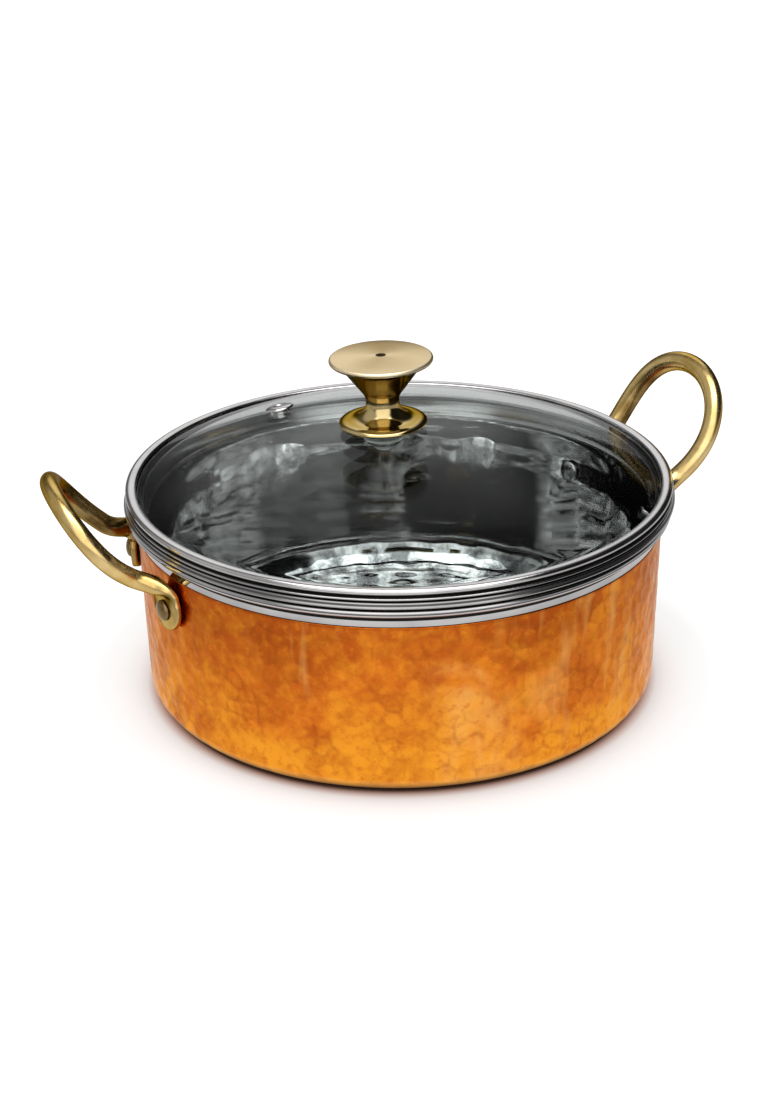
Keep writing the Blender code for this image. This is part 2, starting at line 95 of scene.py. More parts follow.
SHADOW_EASE_ASIDE = 0.0014      # how much narrower it is at the sides
EASE_EDGE = (0.055, 0.090)
# Painted shadow: the floor's own colour turns dark brown at the foot of the pan
CONTACT_SHADOW_BROWN = (0.05, 0.015, 0.006)
CONTACT_SHADOW_EDGE = (0.0860, 0.0920)
WHITE = (1, 1, 1)
BLACK = (0, 0, 0)
COPPER_BOUNCE_TINT = (1, 0.45, 0.30)   # painted reddish light from the copper in the shadow, nearest to the foot
COPPER_BOUNCE_EDGE = (0.0870, 0.0920)
# painted warm light in the shadow further out
WARM_TINT = (1, 0.93, 0.91)
WARM_TINT_EDGE = (0.0920, 0.1050)

# The lamp over the pan
LAMP_PLACE = (-22, 84)          # azimuth and elevation
LAMP_DISTANCE = 1.2
LAMP_SIZE = (1.2, 0.8)
LAMP_POWER = 8

# Soft patches of the surroundings: azimuth and elevation of the middle, inner and outer edge, all in
# degrees, and their level
WORLD_LEVEL = 0.16
SURROUNDINGS = (
    ((-112, 28), (22, 46), 0.55),
    ((-22, 14), (30, 56), 1.6),
    ((-22, 64), (24, 40), 1.7),
    ((158, 35), (12, 28), 1.15),
    ((72, 22), (32, 50), 0.012),
    ((112, 14), (26, 40), 0.02),
)

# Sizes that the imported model's boxes give
copper_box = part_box("copper_shell")
liner_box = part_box("inner_pan")
COPPER_RADIUS = copper_box[1].x
COPPER_HEIGHT = copper_box[1].z
RIM_RADIUS = liner_box[1].x
RIM_HEIGHT = liner_box[1].z

# Sizes of the pieces, as in the model
GAP = 0.0003
COPPER_WALL = 0.0009
COPPER_TAPER = 0.0012
COPPER_CORNER = 0.0065
LINER_WALL = 0.0009
LINER_CORNER = 0.0125
BAND_HEIGHT = 0.0022
RIM_ROLL = 0.0015
LID_BEAD = 0.0017
LID_BEAD_RISE = 0.0012
LID_FACE = 0.0038
LID_LIP = 0.0008
LID_GROOVE = 0.0009
LID_RIDGE = 0.0005
LID_RIDGE_HEIGHT = 0.0036
LID_SKIRT_TOP = 0.0026
LID_SKIRT_BOTTOM = 0.0007
LID_SKIRT_OVERHANG = 0.0008
LID_SKIRT_ROUND = 0.0004
LID_HEIGHT = 0.0071
LOCATOR_DEPTH = 0.0051
LOCATOR_WALL = 0.0008
LOCATOR_LEAN = 0.0006           # each way from upright, so that it shows some of the sky
LOCATOR_SHARES = (0.2, 0.4, 0.6, 0.8, 1)
SKIRT_CLEARANCE = 0.0005
GLASS_INSET = 0.0027
GLASS_THICKNESS = 0.0040
GLASS_RISE = 0.0183
GLASS_EDGE_ROUND = 0.0006
VENT_DISTANCE = 0.0565
VENT_ANGLE = math.radians(117)
VENT_BORE = 0.0019
VENT_TUBE = 0.0032
VENT_FLANGE = 0.0054
VENT_FLANGE_HEIGHT = 0.0011
VENT_FOOT = 0.0045
VENT_FOOT_HEIGHT = 0.0007
KNOB_DISTANCE = 0.0050          # from the lid's axis
KNOB_ANGLE = math.radians(158)
KNOB_HEIGHT = 0.0247
KNOB_CROWN = 0.0006
KNOB_CROWN_STEPS = 10           # across the top, of which the outermost is left to the rounded edge
KNOB_DISC_RADIUS = 0.0179
KNOB_DISC_EDGE = 0.0018
KNOB_SHOULDER_RADIUS = 0.0133
KNOB_SHOULDER_DROP = 0.0022
KNOB_NECK_RADIUS = 0.00575
KNOB_NECK_HEIGHT = 0.0081
KNOB_NECK_FILLET = 0.0060
KNOB_BASE_RADIUS = 0.0153
KNOB_BASE_EDGE = 0.0012
KNOB_BASE_CROWN = 0.0021
KNOB_BASE_BROW = 0.0034
KNOB_DIMPLE_RADIUS = 0.0016
KNOB_DIMPLE_DEPTH = 0.0007
KNOB_DIMPLE_FLOOR_SHARE = 0.7
KNOB_BORE_DEPTH = 0.0115
GASKET_THICKNESS = 0.0008
SCREW_HOLE = 0.0023
ROD_HALF_WIDTH = 0.0036
ROD_HALF_HEIGHT = 0.0032
ROD_SIDES = 40
EAR_RADIUS = 0.0080
EAR_LIFT = 0.0010
EAR_THICKNESS = 0.0030
EAR_SQUARE = 0.5                # 1 is a round section
EAR_TIP_SHARE = 0.55            # thickness at the tip
EAR_TURNS = (0, 4, 9, 15, 22, 30, 38, 46, 54, 62, 70, 78, 86, 94, 102, 110, 120)    # degrees round it
EAR_FULL_TURN = 22              # where it has its full thickness
EAR_ANGLE = math.radians(16.5)
RIVET_DROP = 0.0114
ARM_RISE = 0.0079
ARM_STANDOFF = 0.0026
ARM_SPREAD = 0.0205
LOOP_BULGE = 0.80
LOOP_SLICES = 60
LOOP_STATIONS = 48
NECK_STATIONS = 27
NECK_END = 0.22
NECK_EAR_PULL = 0.0048
NECK_ARM_PULL = 0.0070
NECK_ROUND = 0.42
ROOT_ELEVATION = math.radians(26)
HANDLE_SETBACK = math.radians(4.7)
LEFT_LOOP = (0.0397, math.radians(58))      # reach and lean
RIGHT_LOOP = (0.0472, math.radians(66.5))
RIVET_RADIUS = 0.0024
RIVET_HEAD_RADIUS = 0.0036
RIVET_HEAD_HEIGHT = 0.0018
RIVET_TAIL_RADIUS = 0.0040
RIVET_TAIL_HEIGHT = 0.0012
RIVET_CUT = (0.006, -0.002)     # where a hole's cutter starts and ends, from the copper's outside
GLASS_CUT = (0.002, -0.007)     # the same from the glass's upper face

# Worked out from these. Heights of the lid's pieces are above the rim.
roll_middle = RIM_RADIUS - RIM_ROLL
liner_offset = COPPER_WALL + GAP
liner_inside = COPPER_RADIUS - liner_offset - LINER_WALL
floor_height = liner_offset + LINER_WALL
band_bottom = COPPER_HEIGHT + GAP
band_top = band_bottom + BAND_HEIGHT
bead_bottom = LID_HEIGHT - 2 * LID_BEAD_RISE
glass_opening = RIM_RADIUS - LID_FACE
glass_edge_height = LID_HEIGHT - LID_LIP - GAP
glass_radius = RIM_RADIUS - GLASS_INSET
dome_radius = (glass_opening ** 2 + GLASS_RISE ** 2) / (2 * GLASS_RISE)
crown_height = glass_edge_height + GLASS_RISE
knob_seat = GAP + GASKET_THICKNESS + GAP
rivet_height = COPPER_HEIGHT - RIVET_DROP

# Hammer marks in the copper
DENT_PITCH = 0.0066
DENT_BOWL = 0.020               # radius of the hammer's face
DENT_DEPTH = 0.00032
DENT_SCATTER_SHARE = 0.36       # of the pitch
ROW_SHARE = 0.87                # rows of blows apart, of the pitch
RIDGE_WIDTH = 0.0022
DENT_SOFTNESS = 0.000014
DENT_LIFT = 0.00005             # how unevenly deep the blows are
DENTS_BELOW_EDGE = (0.0004, 0.003)      # where they start and are in full, below the copper's edge
DENTS_ABOVE_FOOT = (0.0002, 0.004)
FACING_DOWN = -0.97
PLACE_SEED = 11
TONE_SEED = 5
LEAST = 1e-30

# Waves in the liner
WAVE_WIDTH = 0.014              # drawn out upwards
WAVE_HEIGHT = 0.030
WAVE_DEPTH = 0.00028
SWELL_WIDTH = 0.030
SWELL_DEPTH = 0.00050
SWELL_SHIFT = Vector((7, 3, 1))
SPUN_WIDTH = 0.050              # ridges round the upper part of the wall
SPUN_HEIGHT = 0.0045
SPUN_DEPTH = 0.00010
SPUN_START = (0.036, 0.052)
STREAK_WIDTH = 0.0050           # faint upright lines
STREAK_HEIGHT = 0.060
STREAK_DEPTH = 0.00002
RIPPLE_WIDTH = 0.0080           # in the liner's floor
RIPPLE_DEPTH = 0.00030
RIPPLE_CORNER_SHARES = (1 / 3, 0.9)     # of the corner, where the ripples start to fade and end
SMOOTH_BELOW_LID = (0.001, 0.010)
FACING_OUT = 0.0001

ROUND_STEPS = 560               # round the pan's wall
RING_STEPS = 360
GLASS_STEPS = 240
GLASS_BANDS = 36
KNOB_STEPS = 144
SMALL_STEPS = 64
SURFACE_STEP = 0.0010           # along the copper's height
LINER_FLOOR_STEP = 0.0014
LINER_WALL_STEP = 0.0012
MERGE_DISTANCE = 0.00001
SHARP_ANGLE = math.radians(38)


def copper_radius(height):
    share = (height - COPPER_CORNER) / (COPPER_HEIGHT - COPPER_CORNER)
    return COPPER_RADIUS - COPPER_TAPER * (1 - share)


def glass_top(radius):
    return crown_height - dome_radius + math.sqrt(dome_radius ** 2 - radius ** 2)


def fade(value, start, end):
    share = min(1.0, max(0.0, (value - start) / (end - start)))
    return share * share * (3 - 2 * share)


# Outlines

def arc(middle, radius, start, end, count, height=None):
    """Points on a circle or, with a height, on an ellipse."""
    points = []
    for step in range(count + 1):
        angle = math.radians(start + (end - start) * step / count)
        r = middle[0] + radius * math.cos(angle)
        z = middle[1] + (radius if height is None else height) * math.sin(angle)
        points.append((r, z))
    return points


def divided(outline, step):
    """The outline with its long straight runs cut into steps."""
    points = [outline[0]]
    for (r1, z1), (r2, z2) in zip(outline, outline[1:]):
        count = max(1, round(math.hypot(r2 - r1, z2 - z1) / step))
        for index in range(1, count + 1):
            share = index / count
            points.append((r1 + (r2 - r1) * share, z1 + (z2 - z1) * share))
    return points


def on_rim(outline):
    return [(r, z + RIM_HEIGHT) for r, z in outline]


# Meshes

def new_piece(name, mesh, body, *nodes, slot=None):
    """Puts a finished mesh in the scene on its body, in place of the model's plain nodes."""
    piece = bpy.data.objects.new(name, mesh)
    bpy.context.scene.collection.objects.link(piece)
    mesh.shade_smooth()
    mesh.set_sharp_from_angle(angle=SHARP_ANGLE)
    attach(piece, body)
    if nodes:
        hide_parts(*nodes)
    return piece


def lathe(name, outline, steps, closed=False, matrix=None):
    """Mesh of a turned piece. The outline runs down its outer side."""
    points = []
    rings = []
    for r, z in outline:
        first = len(points)
        if r < MERGE_DISTANCE:
            points.append(Vector((0, 0, z)))
            rings.append([first] * steps)
            continue
        for step in range(steps):
            turn = math.tau * step / steps
            points.append(Vector((r * math.cos(turn), r * math.sin(turn), z)))
        rings.append(list(range(first, first + steps)))
    pairs = list(zip(rings, rings[1:]))
    if closed:
        pairs.append((rings[-1], rings[0]))
    faces = []
    for upper, lower in pairs:
        for step in range(steps):
            after = (step + 1) % steps
            corners = (upper[step], lower[step], lower[after], upper[after])
            faces.append(tuple(dict.fromkeys(corners)))
    faces = [face for face in faces if len(face) > 2]
    if matrix is not None:
        points = [matrix @ point for point in points]
    mesh = bpy.data.meshes.new(name)
    mesh.from_pydata(points, [], faces)
    return mesh


def dent_places(outline):
    """Middles of hammer blows, in staggered rows along a turned outline, and how much less deep each is."""
    dice = random.Random(PLACE_SEED)
    rows = divided(outline, DENT_PITCH * ROW_SHARE)
    reach = DENT_PITCH * DENT_SCATTER_SHARE
    places = []
    for row, (r, z) in enumerate(rows):
        before = rows[max(row - 1, 0)]
        after = rows[min(row + 1, len(rows) - 1)]
        along = Vector((after[0] - before[0], after[1] - before[1])).normalized()
        count = max(1, round(math.tau * r / DENT_PITCH))
        for index in range(count):
            turn = math.tau * (index + row % 2 / 2) / count
            turn += dice.uniform(-reach, reach) / max(r, DENT_PITCH)
            slide = dice.uniform(-reach, reach)
            radius = r + along.x * slide
            lift = dice.uniform(0, DENT_LIFT)
            place = Vector((radius * math.cos(turn), radius * math.sin(turn), z + along.y * slide))
            places.append((place, lift))
    return places


def hammer(mesh, places, weight):
    """Sinks overlapping shallow bowls into a mesh, as far as the weight of each vertex says.

    For the finish, the mesh keeps a tone for every blow, and how near the ridge round it is.
    """
    dice = random.Random(TONE_SEED)
    tones = [dice.random() for _ in places]
    tone = mesh.attributes.new("tone", "FLOAT", "POINT").data
    ridge = mesh.attributes.new("ridge", "FLOAT", "POINT").data
    tree = kdtree.KDTree(len(places))
    for index, (place, _) in enumerate(places):
        tree.insert(place, index)
    tree.balance()
    normals = [vertex.normal.copy() for vertex in mesh.vertices]
    for vertex, normal in zip(mesh.vertices, normals):
        strength = weight(vertex.co, normal)
        if strength <= 0:
            continue
        total = 0
        mean = 0
        near = tree.find_n(vertex.co, 4)
        for _, index, distance in near:
            height = distance * distance / (2 * DENT_BOWL) + places[index][1]
            part = math.exp(-height / DENT_SOFTNESS)
            total += part
            mean += part * tones[index]
        total = max(total, LEAST)
        tone[vertex.index].value = mean / total
        ridge[vertex.index].value = 1 - min(1, (near[1][2] - near[0][2]) / RIDGE_WIDTH)
        height = -DENT_SOFTNESS * math.log(total)
        vertex.co -= normal * max(0.0, DENT_DEPTH - height) * strength


def drill(mesh, radius, cut, matrix):
    """The mesh with a round hole through it, along the matrix's Z axis."""
    start, end = cut
    hole = lathe("hole", [(0, start), (radius, start), (radius, end), (0, end)], SMALL_STEPS, matrix=matrix)
    piece = bpy.data.objects.new("being_cut", mesh)
    cutter = bpy.data.objects.new("cutter", hole)
    for thing in (piece, cutter):
        bpy.context.scene.collection.objects.link(thing)
    boolean = piece.modifiers.new("Cut", "BOOLEAN")
    boolean.operation = "DIFFERENCE"
    boolean.solver = "EXACT"
    boolean.object = cutter
    bpy.context.view_layer.update()
    result = bpy.data.meshes.new_from_object(piece.evaluated_get(bpy.context.evaluated_depsgraph_get()))
    for thing in (piece, cutter):
        bpy.data.objects.remove(thing, do_unlink=True)
    return result


# Pan

def make_copper():
    corner_middle = (COPPER_RADIUS - COPPER_TAPER - COPPER_CORNER, COPPER_CORNER)
    lip = COPPER_WALL / 3
    wall = divided([(COPPER_RADIUS, COPPER_HEIGHT - lip),
                    (COPPER_RADIUS - COPPER_TAPER, COPPER_CORNER)], SURFACE_STEP)
    corner = arc(corner_middle, COPPER_CORNER, 0, -90, 10)[1:]
    outer = arc((COPPER_RADIUS - lip, COPPER_HEIGHT - lip), lip, 90, 0, 3)[:-1] + wall + corner + [(0, 0)]
    inner = [(0, COPPER_WALL)]
    inner += arc(corner_middle, COPPER_CORNER - COPPER_WALL, -90, 0, 5)
    inner += [(COPPER_RADIUS - COPPER_WALL, COPPER_HEIGHT)]
    mesh = lathe("copper_skin", inner + outer, ROUND_STEPS)

    def weight(place, normal):
        if normal.z <= FACING_DOWN or place.x * normal.x + place.y * normal.y <= 0:
            return 0
        return fade(COPPER_HEIGHT - place.z, *DENTS_BELOW_EDGE) * fade(place.z, *DENTS_ABOVE_FOOT)

    rows = [(COPPER_RADIUS, COPPER_HEIGHT - DENT_PITCH / 3), (COPPER_RADIUS - COPPER_TAPER, 0)]
    hammer(mesh, dent_places(rows), weight)
    return new_piece("copper_skin", mesh, "pan", "copper_shell", slot="copper")


def upright_noise(place, width, height):
    """Smooth noise, -1 to 1, with unlike sizes across and upwards."""
    return noise.noise(Vector((place.x / width, place.y / width, place.z / height)))


def make_liner():
    corner_middle = (liner_inside - COPPER_TAPER - LINER_CORNER, floor_height + LINER_CORNER)
    inside = divided([(0, floor_height), (corner_middle[0], floor_height)], LINER_FLOOR_STEP)
    inside += arc(corner_middle, LINER_CORNER, -90, 0, 14)[1:]
    inside += divided([inside[-1], (liner_inside, band_top)], LINER_WALL_STEP)[1:]
    flare = arc((roll_middle, band_top), roll_middle - liner_inside, 180, 90, 10, RIM_HEIGHT - band_top)[1:]
    roll = arc((roll_middle, RIM_HEIGHT - RIM_ROLL), RIM_ROLL, 90, -125, 20)[1:]
    outside = [(COPPER_RADIUS, band_top), (COPPER_RADIUS, band_bottom),
               (COPPER_RADIUS - liner_offset, band_bottom)]
    outside += arc(corner_middle, LINER_CORNER + LINER_WALL, 0, -90, 6)
    outside += [(0, liner_offset)]
    mesh = lathe("liner", inside + flare + roll + outside, ROUND_STEPS)
    smooth_above = RIM_HEIGHT - LOCATOR_DEPTH
    ripples_fade, ripples_end = (floor_height + LINER_CORNER * share for share in RIPPLE_CORNER_SHARES)
    for vertex, normal in zip(mesh.vertices, [vertex.normal.copy() for vertex in mesh.vertices]):
        place = vertex.co
        if place.z < floor_height - GAP or place.x * normal.x + place.y * normal.y > FACING_OUT:
            continue
        on_wall = fade(place.z, floor_height, floor_height + LINER_CORNER)
        on_wall *= fade(smooth_above - place.z, *SMOOTH_BELOW_LID)
        on_floor = 1 - fade(place.z, ripples_fade, ripples_end)
        wave = upright_noise(place, WAVE_WIDTH, WAVE_HEIGHT)
        swell = noise.noise(place / SWELL_WIDTH + SWELL_SHIFT)
        spun = upright_noise(place, SPUN_WIDTH, SPUN_HEIGHT)
        ripple = noise.noise(Vector((place.x, place.y, 0)) / RIPPLE_WIDTH)
        streak = upright_noise(place, STREAK_WIDTH, STREAK_HEIGHT)
        sink = on_wall * (WAVE_DEPTH * (1 + wave) + SWELL_DEPTH * (1 + swell))
        sink += on_wall * fade(place.z, *SPUN_START) * SPUN_DEPTH * (1 + spun)
        sink += on_wall * STREAK_DEPTH * (1 + streak)
        sink += on_floor * RIPPLE_DEPTH * (1 + ripple)
        vertex.co = place - normal * sink
    return new_piece("liner", mesh, "pan", "inner_pan", slot="steel")


# Handles and rivets

def loop_point(share, reach, lean):
    """Point of a handle's loop: distance out, distance to the side, height."""
    turn = math.asin(share)
    side = ARM_SPREAD * math.cos(turn) * (1 + LOOP_BULGE * share)
    out = copper_radius(rivet_height) + ARM_STANDOFF
    height = rivet_height + ARM_RISE
    slice_length = reach * share / LOOP_SLICES
    for step in range(LOOP_SLICES):
        elevation = lean - (lean - ROOT_ELEVATION) * (1 - share * step / LOOP_SLICES) ** 2
        out += slice_length * math.cos(elevation)
        height += slice_length * math.sin(elevation)
    return Vector((out, side, height))


def handle_stations(reach, lean):
    """Centres, half widths, half thicknesses and squareness from ear to loop's top."""
    flat = EAR_THICKNESS / 2
    outward = Vector((math.cos(EAR_ANGLE), math.sin(EAR_ANGLE), 0))
    ear_middle = outward * (copper_radius(rivet_height) + GAP + flat)
    ear_middle += Vector((0, 0, rivet_height + EAR_LIFT))
    stations = []
    for degrees in EAR_TURNS:
        turn = math.radians(degrees)
        centre = ear_middle - Vector((0, 0, EAR_RADIUS * math.cos(turn)))
        thick = flat * (EAR_TIP_SHARE + (1 - EAR_TIP_SHARE) * fade(degrees, 0, EAR_FULL_TURN))
        stations.append((centre, EAR_RADIUS * math.sin(turn), thick, EAR_SQUARE))
    start = stations[-1][0]
    start_width = stations[-1][1]
    end = loop_point(NECK_END, reach, lean)
    beyond = loop_point(NECK_END + 1 / LOOP_SLICES, reach, lean)
    pull_up = start + Vector((0, 0, NECK_EAR_PULL))
    pull_back = end - (beyond - end).normalized() * NECK_ARM_PULL
    for step in range(1, NECK_STATIONS):
        t = step / NECK_STATIONS
        centre = (start * (1 - t) ** 3 + pull_up * 3 * t * (1 - t) ** 2
                  + pull_back * 3 * t * t * (1 - t) + end * t ** 3)
        blend = fade(t, 0, NECK_ROUND)
        width = start_width + (ROD_HALF_WIDTH - start_width) * blend
        thick = flat + (ROD_HALF_HEIGHT - flat) * blend
        centre = centre + outward * (thick - flat) * (1 - t)
        stations.append((centre, width, thick, EAR_SQUARE + (1 - EAR_SQUARE) * blend))
    first_turn = math.asin(NECK_END)
    for step in range(LOOP_STATIONS + 1):
        turn = first_turn + (math.pi / 2 - first_turn) * step / LOOP_STATIONS
        centre = loop_point(math.sin(turn), reach, lean)
        if step == LOOP_STATIONS:
            centre.y = 0
        stations.append((centre, ROD_HALF_WIDTH, ROD_HALF_HEIGHT, 1))
    return stations


def signed_power(value, power):
    return math.copysign(abs(value) ** power, value)


def rivet_matrix(angle):
    """Frame of a rivet: its Z axis points outwards, its origin on the copper."""
    place = Matrix.Rotation(angle, 4, "Z")
    place @= Matrix.Translation((copper_radius(rivet_height), 0, rivet_height))
    return place @ Matrix.Rotation(math.radians(90), 4, "Y")


def half_handle(reach, lean):
    """The ear's tip, and rings of points from there to the loop's top."""
    stations = handle_stations(reach, lean)
    across = Vector((-math.sin(EAR_ANGLE), math.cos(EAR_ANGLE), 0))
    rings = []
    for index in range(1, len(stations)):
        centre, width, thick, squareness = stations[index]
        if index == len(stations) - 1:
            tangent = Vector((0, -1, 0))
        else:
            tangent = (stations[index + 1][0] - stations[index - 1][0]).normalized()
        across = (across - tangent * across.dot(tangent)).normalized()
        normal = across.cross(tangent)
        ring = []
        for side in range(ROD_SIDES):
            turn = math.tau * side / ROD_SIDES
            x = width * signed_power(math.cos(turn), squareness)
            y = thick * signed_power(math.sin(turn), squareness)
            ring.append(centre + across * x + normal * y)
        rings.append(ring)
    return stations[0][0], rings


def make_handle(name, loop, angle):
    """A whole handle: half of it lofted, and its mirror image joined on at the loop's top."""
    tip, half = half_handle(*loop)
    place = Matrix.Rotation(angle, 4, "Z")
    flip = Matrix.Scale(-1, 4, (0, 1, 0))
    shape = bmesh.new()
    tops = []
    for mirror in (Matrix.Identity(4), flip):
        end = shape.verts.new(place @ mirror @ tip)
        rings = [[shape.verts.new(place @ mirror @ point) for point in ring] for ring in half]
        for side in range(ROD_SIDES):
            after = (side + 1) % ROD_SIDES
            shape.faces.new((end, rings[0][after], rings[0][side]))
            for lower, upper in zip(rings, rings[1:]):
                shape.faces.new((lower[side], lower[after], upper[after], upper[side]))
        tops += rings[-1]
    bmesh.ops.remove_doubles(shape, verts=tops, dist=MERGE_DISTANCE)
    bmesh.ops.recalc_face_normals(shape, faces=shape.faces)
    mesh = bpy.data.meshes.new(name)
    shape.to_mesh(mesh)
    shape.free()
    for way in (1, -1):
        mesh = drill(mesh, RIVET_RADIUS + GAP, RIVET_CUT, rivet_matrix(angle + way * EAR_ANGLE))
    return new_piece(name + "_polished", mesh, "pan", name, slot="handle_brass")


def make_rivet(name, angle):
    ear_face = GAP + EAR_THICKNESS + GAP
    tail_face = -(liner_offset + LINER_WALL + GAP)
    outline = arc((0, ear_face), RIVET_HEAD_RADIUS, 90, 0, 12, RIVET_HEAD_HEIGHT)
    outline += [(RIVET_RADIUS, ear_face), (RIVET_RADIUS, tail_face)]
    outline += arc((0, tail_face), RIVET_TAIL_RADIUS, 0, -90, 8, RIVET_TAIL_HEIGHT)
    mesh = lathe(name, outline, SMALL_STEPS, matrix=rivet_matrix(angle))
    return new_piece(name + "_domed", mesh, "pan", name, slot="rivet_brass")


# Lid

def make_ring():
    bead_middle = (RIM_RADIUS - LID_BEAD, LID_HEIGHT - LID_BEAD_RISE)
    lip_middle = (RIM_RADIUS - LID_BEAD, glass_edge_height + GAP)
    groove_radius = RIM_RADIUS - LID_GROOVE
    ridge_middle = (groove_radius, LID_RIDGE_HEIGHT)
    skirt_radius = RIM_RADIUS + LID_SKIRT_OVERHANG
    skirt_corner = (skirt_radius - LID_SKIRT_ROUND, LID_SKIRT_BOTTOM + LID_SKIRT_ROUND)
    on_roll = roll_middle + RIM_ROLL / 2
    channel = glass_radius + GAP
    locator_outside = liner_inside - SKIRT_CLEARANCE
    locator_inside = locator_outside - LOCATOR_WALL
    outline = arc(lip_middle, LID_FACE - LID_BEAD, 180, 90, 10, LID_LIP)
    outline += arc(bead_middle, LID_BEAD, 90, -35, 20, LID_BEAD_RISE)[1:]
    outline += [(groove_radius, (bead_bottom + LID_RIDGE_HEIGHT + LID_RIDGE) / 2)]
    outline += arc(ridge_middle, LID_GROOVE, 70, -70, 10, LID_RIDGE)
    outline += [(groove_radius, (LID_RIDGE_HEIGHT - LID_RIDGE + LID_SKIRT_TOP) / 2)]
    outline += [(RIM_RADIUS, LID_SKIRT_TOP)]
    outline += arc(skirt_corner, LID_SKIRT_ROUND, 20, -90, 8)
    outline += [(on_roll, LID_SKIRT_BOTTOM), (on_roll, GAP), (locator_outside, GAP)]
    foot_middle = (locator_inside - LOCATOR_LEAN, LOCATOR_WALL - LOCATOR_DEPTH)
    outline += arc(foot_middle, LOCATOR_WALL, 0, -225, 18)
    r1, z1 = outline[-1]
    r2 = locator_inside + LOCATOR_LEAN
    z2 = glass_top(r2) - GLASS_THICKNESS - GAP
    for share in LOCATOR_SHARES:
        outline += [(r1 + (r2 - r1) * (share + share ** 2) / 2, z1 + (z2 - z1) * share)]
    outline += [(channel, glass_top(channel) - GLASS_THICKNESS - GAP), (channel, glass_top(channel) + GAP)]
    mesh = lathe("ring", on_rim(outline), RING_STEPS, closed=True)
    return new_piece("lid_ring_polished", mesh, "lid", "lid_ring", slot="steel")


def glass_frame(distance, angle):
    """Frame on the glass's upper face: its Z axis is square to the glass."""
    slope = math.asin(distance / dome_radius)
    place = Matrix.Translation((0, 0, RIM_HEIGHT)) @ Matrix.Rotation(angle, 4, "Z")
    place @= Matrix.Translation((distance, 0, glass_top(distance)))
    return place @ Matrix.Rotation(slope, 4, "Y")


def make_glass():
    """The pane: a dome of even thickness with ground edges, and holes for the vent and the screw."""
    last = glass_radius - GLASS_EDGE_ROUND
    radii = [last * step / GLASS_BANDS for step in range(GLASS_BANDS + 1)]
    edge = glass_top(glass_radius)
    outline = [(r, glass_top(r)) for r in radii]
    outline += [(glass_radius, edge - GLASS_EDGE_ROUND)]
    outline += [(glass_radius, edge - GLASS_THICKNESS + GLASS_EDGE_ROUND)]
    outline += [(r, glass_top(r) - GLASS_THICKNESS) for r in reversed(radii)]
    mesh = lathe("pane", on_rim(outline), GLASS_STEPS)
    mesh = drill(mesh, VENT_TUBE + GAP, GLASS_CUT, glass_frame(VENT_DISTANCE, VENT_ANGLE))
    mesh = drill(mesh, SCREW_HOLE, GLASS_CUT, glass_frame(KNOB_DISTANCE, KNOB_ANGLE))
    return new_piece("lid_pane", mesh, "lid", "lid_glass", slot="lid_glass")


def make_vent():
    slope = math.asin(VENT_DISTANCE / dome_radius)
    under = -GLASS_THICKNESS * math.cos(slope) - GAP
    crown = GAP + VENT_FLANGE_HEIGHT
    lip = (VENT_TUBE - VENT_BORE) / 2
    outline = arc((VENT_BORE + lip, crown - lip), lip, 180, 90, 4)
    outline += arc((VENT_TUBE, GAP), VENT_FLANGE - VENT_TUBE, 90, 0, 10, VENT_FLANGE_HEIGHT)
    outline += [(VENT_TUBE, GAP), (VENT_TUBE, under), (VENT_FOOT, under),
                (VENT_FOOT, under - VENT_FOOT_HEIGHT / 2), (VENT_TUBE, under - VENT_FOOT_HEIGHT),
                (VENT_BORE, under - VENT_FOOT_HEIGHT)]
    mesh = lathe("vent", outline, SMALL_STEPS, closed=True, matrix=glass_frame(VENT_DISTANCE, VENT_ANGLE))
    return new_piece("vent_polished", mesh, "lid", "vent_eyelet", slot="steel")


def make_knob():
    edge_top = KNOB_HEIGHT - KNOB_CROWN
    edge_round = KNOB_DISC_EDGE / 2
    edge_bottom = edge_top - KNOB_DISC_EDGE
    dimple_floor = KNOB_HEIGHT - KNOB_DIMPLE_DEPTH
    outline = [(0, dimple_floor), (KNOB_DIMPLE_RADIUS * KNOB_DIMPLE_FLOOR_SHARE, dimple_floor),
               (KNOB_DIMPLE_RADIUS, KNOB_HEIGHT)]
    for step in range(1, KNOB_CROWN_STEPS - 1):
        share = step / KNOB_CROWN_STEPS
        outline += [(KNOB_DISC_RADIUS * share, KNOB_HEIGHT - KNOB_CROWN * share * share)]
    outline += arc((KNOB_DISC_RADIUS - edge_round, edge_top - edge_round), edge_round, 90, -90, 14)
    outline += [(KNOB_SHOULDER_RADIUS, edge_bottom - KNOB_SHOULDER_DROP)]
    outline += arc((KNOB_NECK_RADIUS + KNOB_NECK_FILLET, KNOB_NECK_HEIGHT), KNOB_NECK_FILLET, 135, 180, 12)
    brow = KNOB_BASE_RADIUS - KNOB_BASE_BROW
    flare = brow - KNOB_NECK_RADIUS
    outline += arc((brow, KNOB_NECK_HEIGHT), flare, 180, 270, 20, KNOB_NECK_HEIGHT - KNOB_BASE_CROWN)[1:]
    brow_height = KNOB_BASE_CROWN - KNOB_BASE_EDGE / 2
    outline += arc((brow, KNOB_BASE_EDGE / 2), KNOB_BASE_BROW, 90, 0, 10, brow_height)[1:]
    outline += [(KNOB_BASE_RADIUS - KNOB_BASE_EDGE / 2, 0), (SCREW_HOLE, 0), (SCREW_HOLE, KNOB_BORE_DEPTH),
                (0, KNOB_BORE_DEPTH)]
    place = glass_frame(KNOB_DISTANCE, KNOB_ANGLE) @ Matrix.Translation((0, 0, knob_seat))
    mesh = lathe("knob", outline, KNOB_STEPS, matrix=place)
    return new_piece("knob_polished", mesh, "lid", "knob", slot="knob_brass")


# Shader nodes

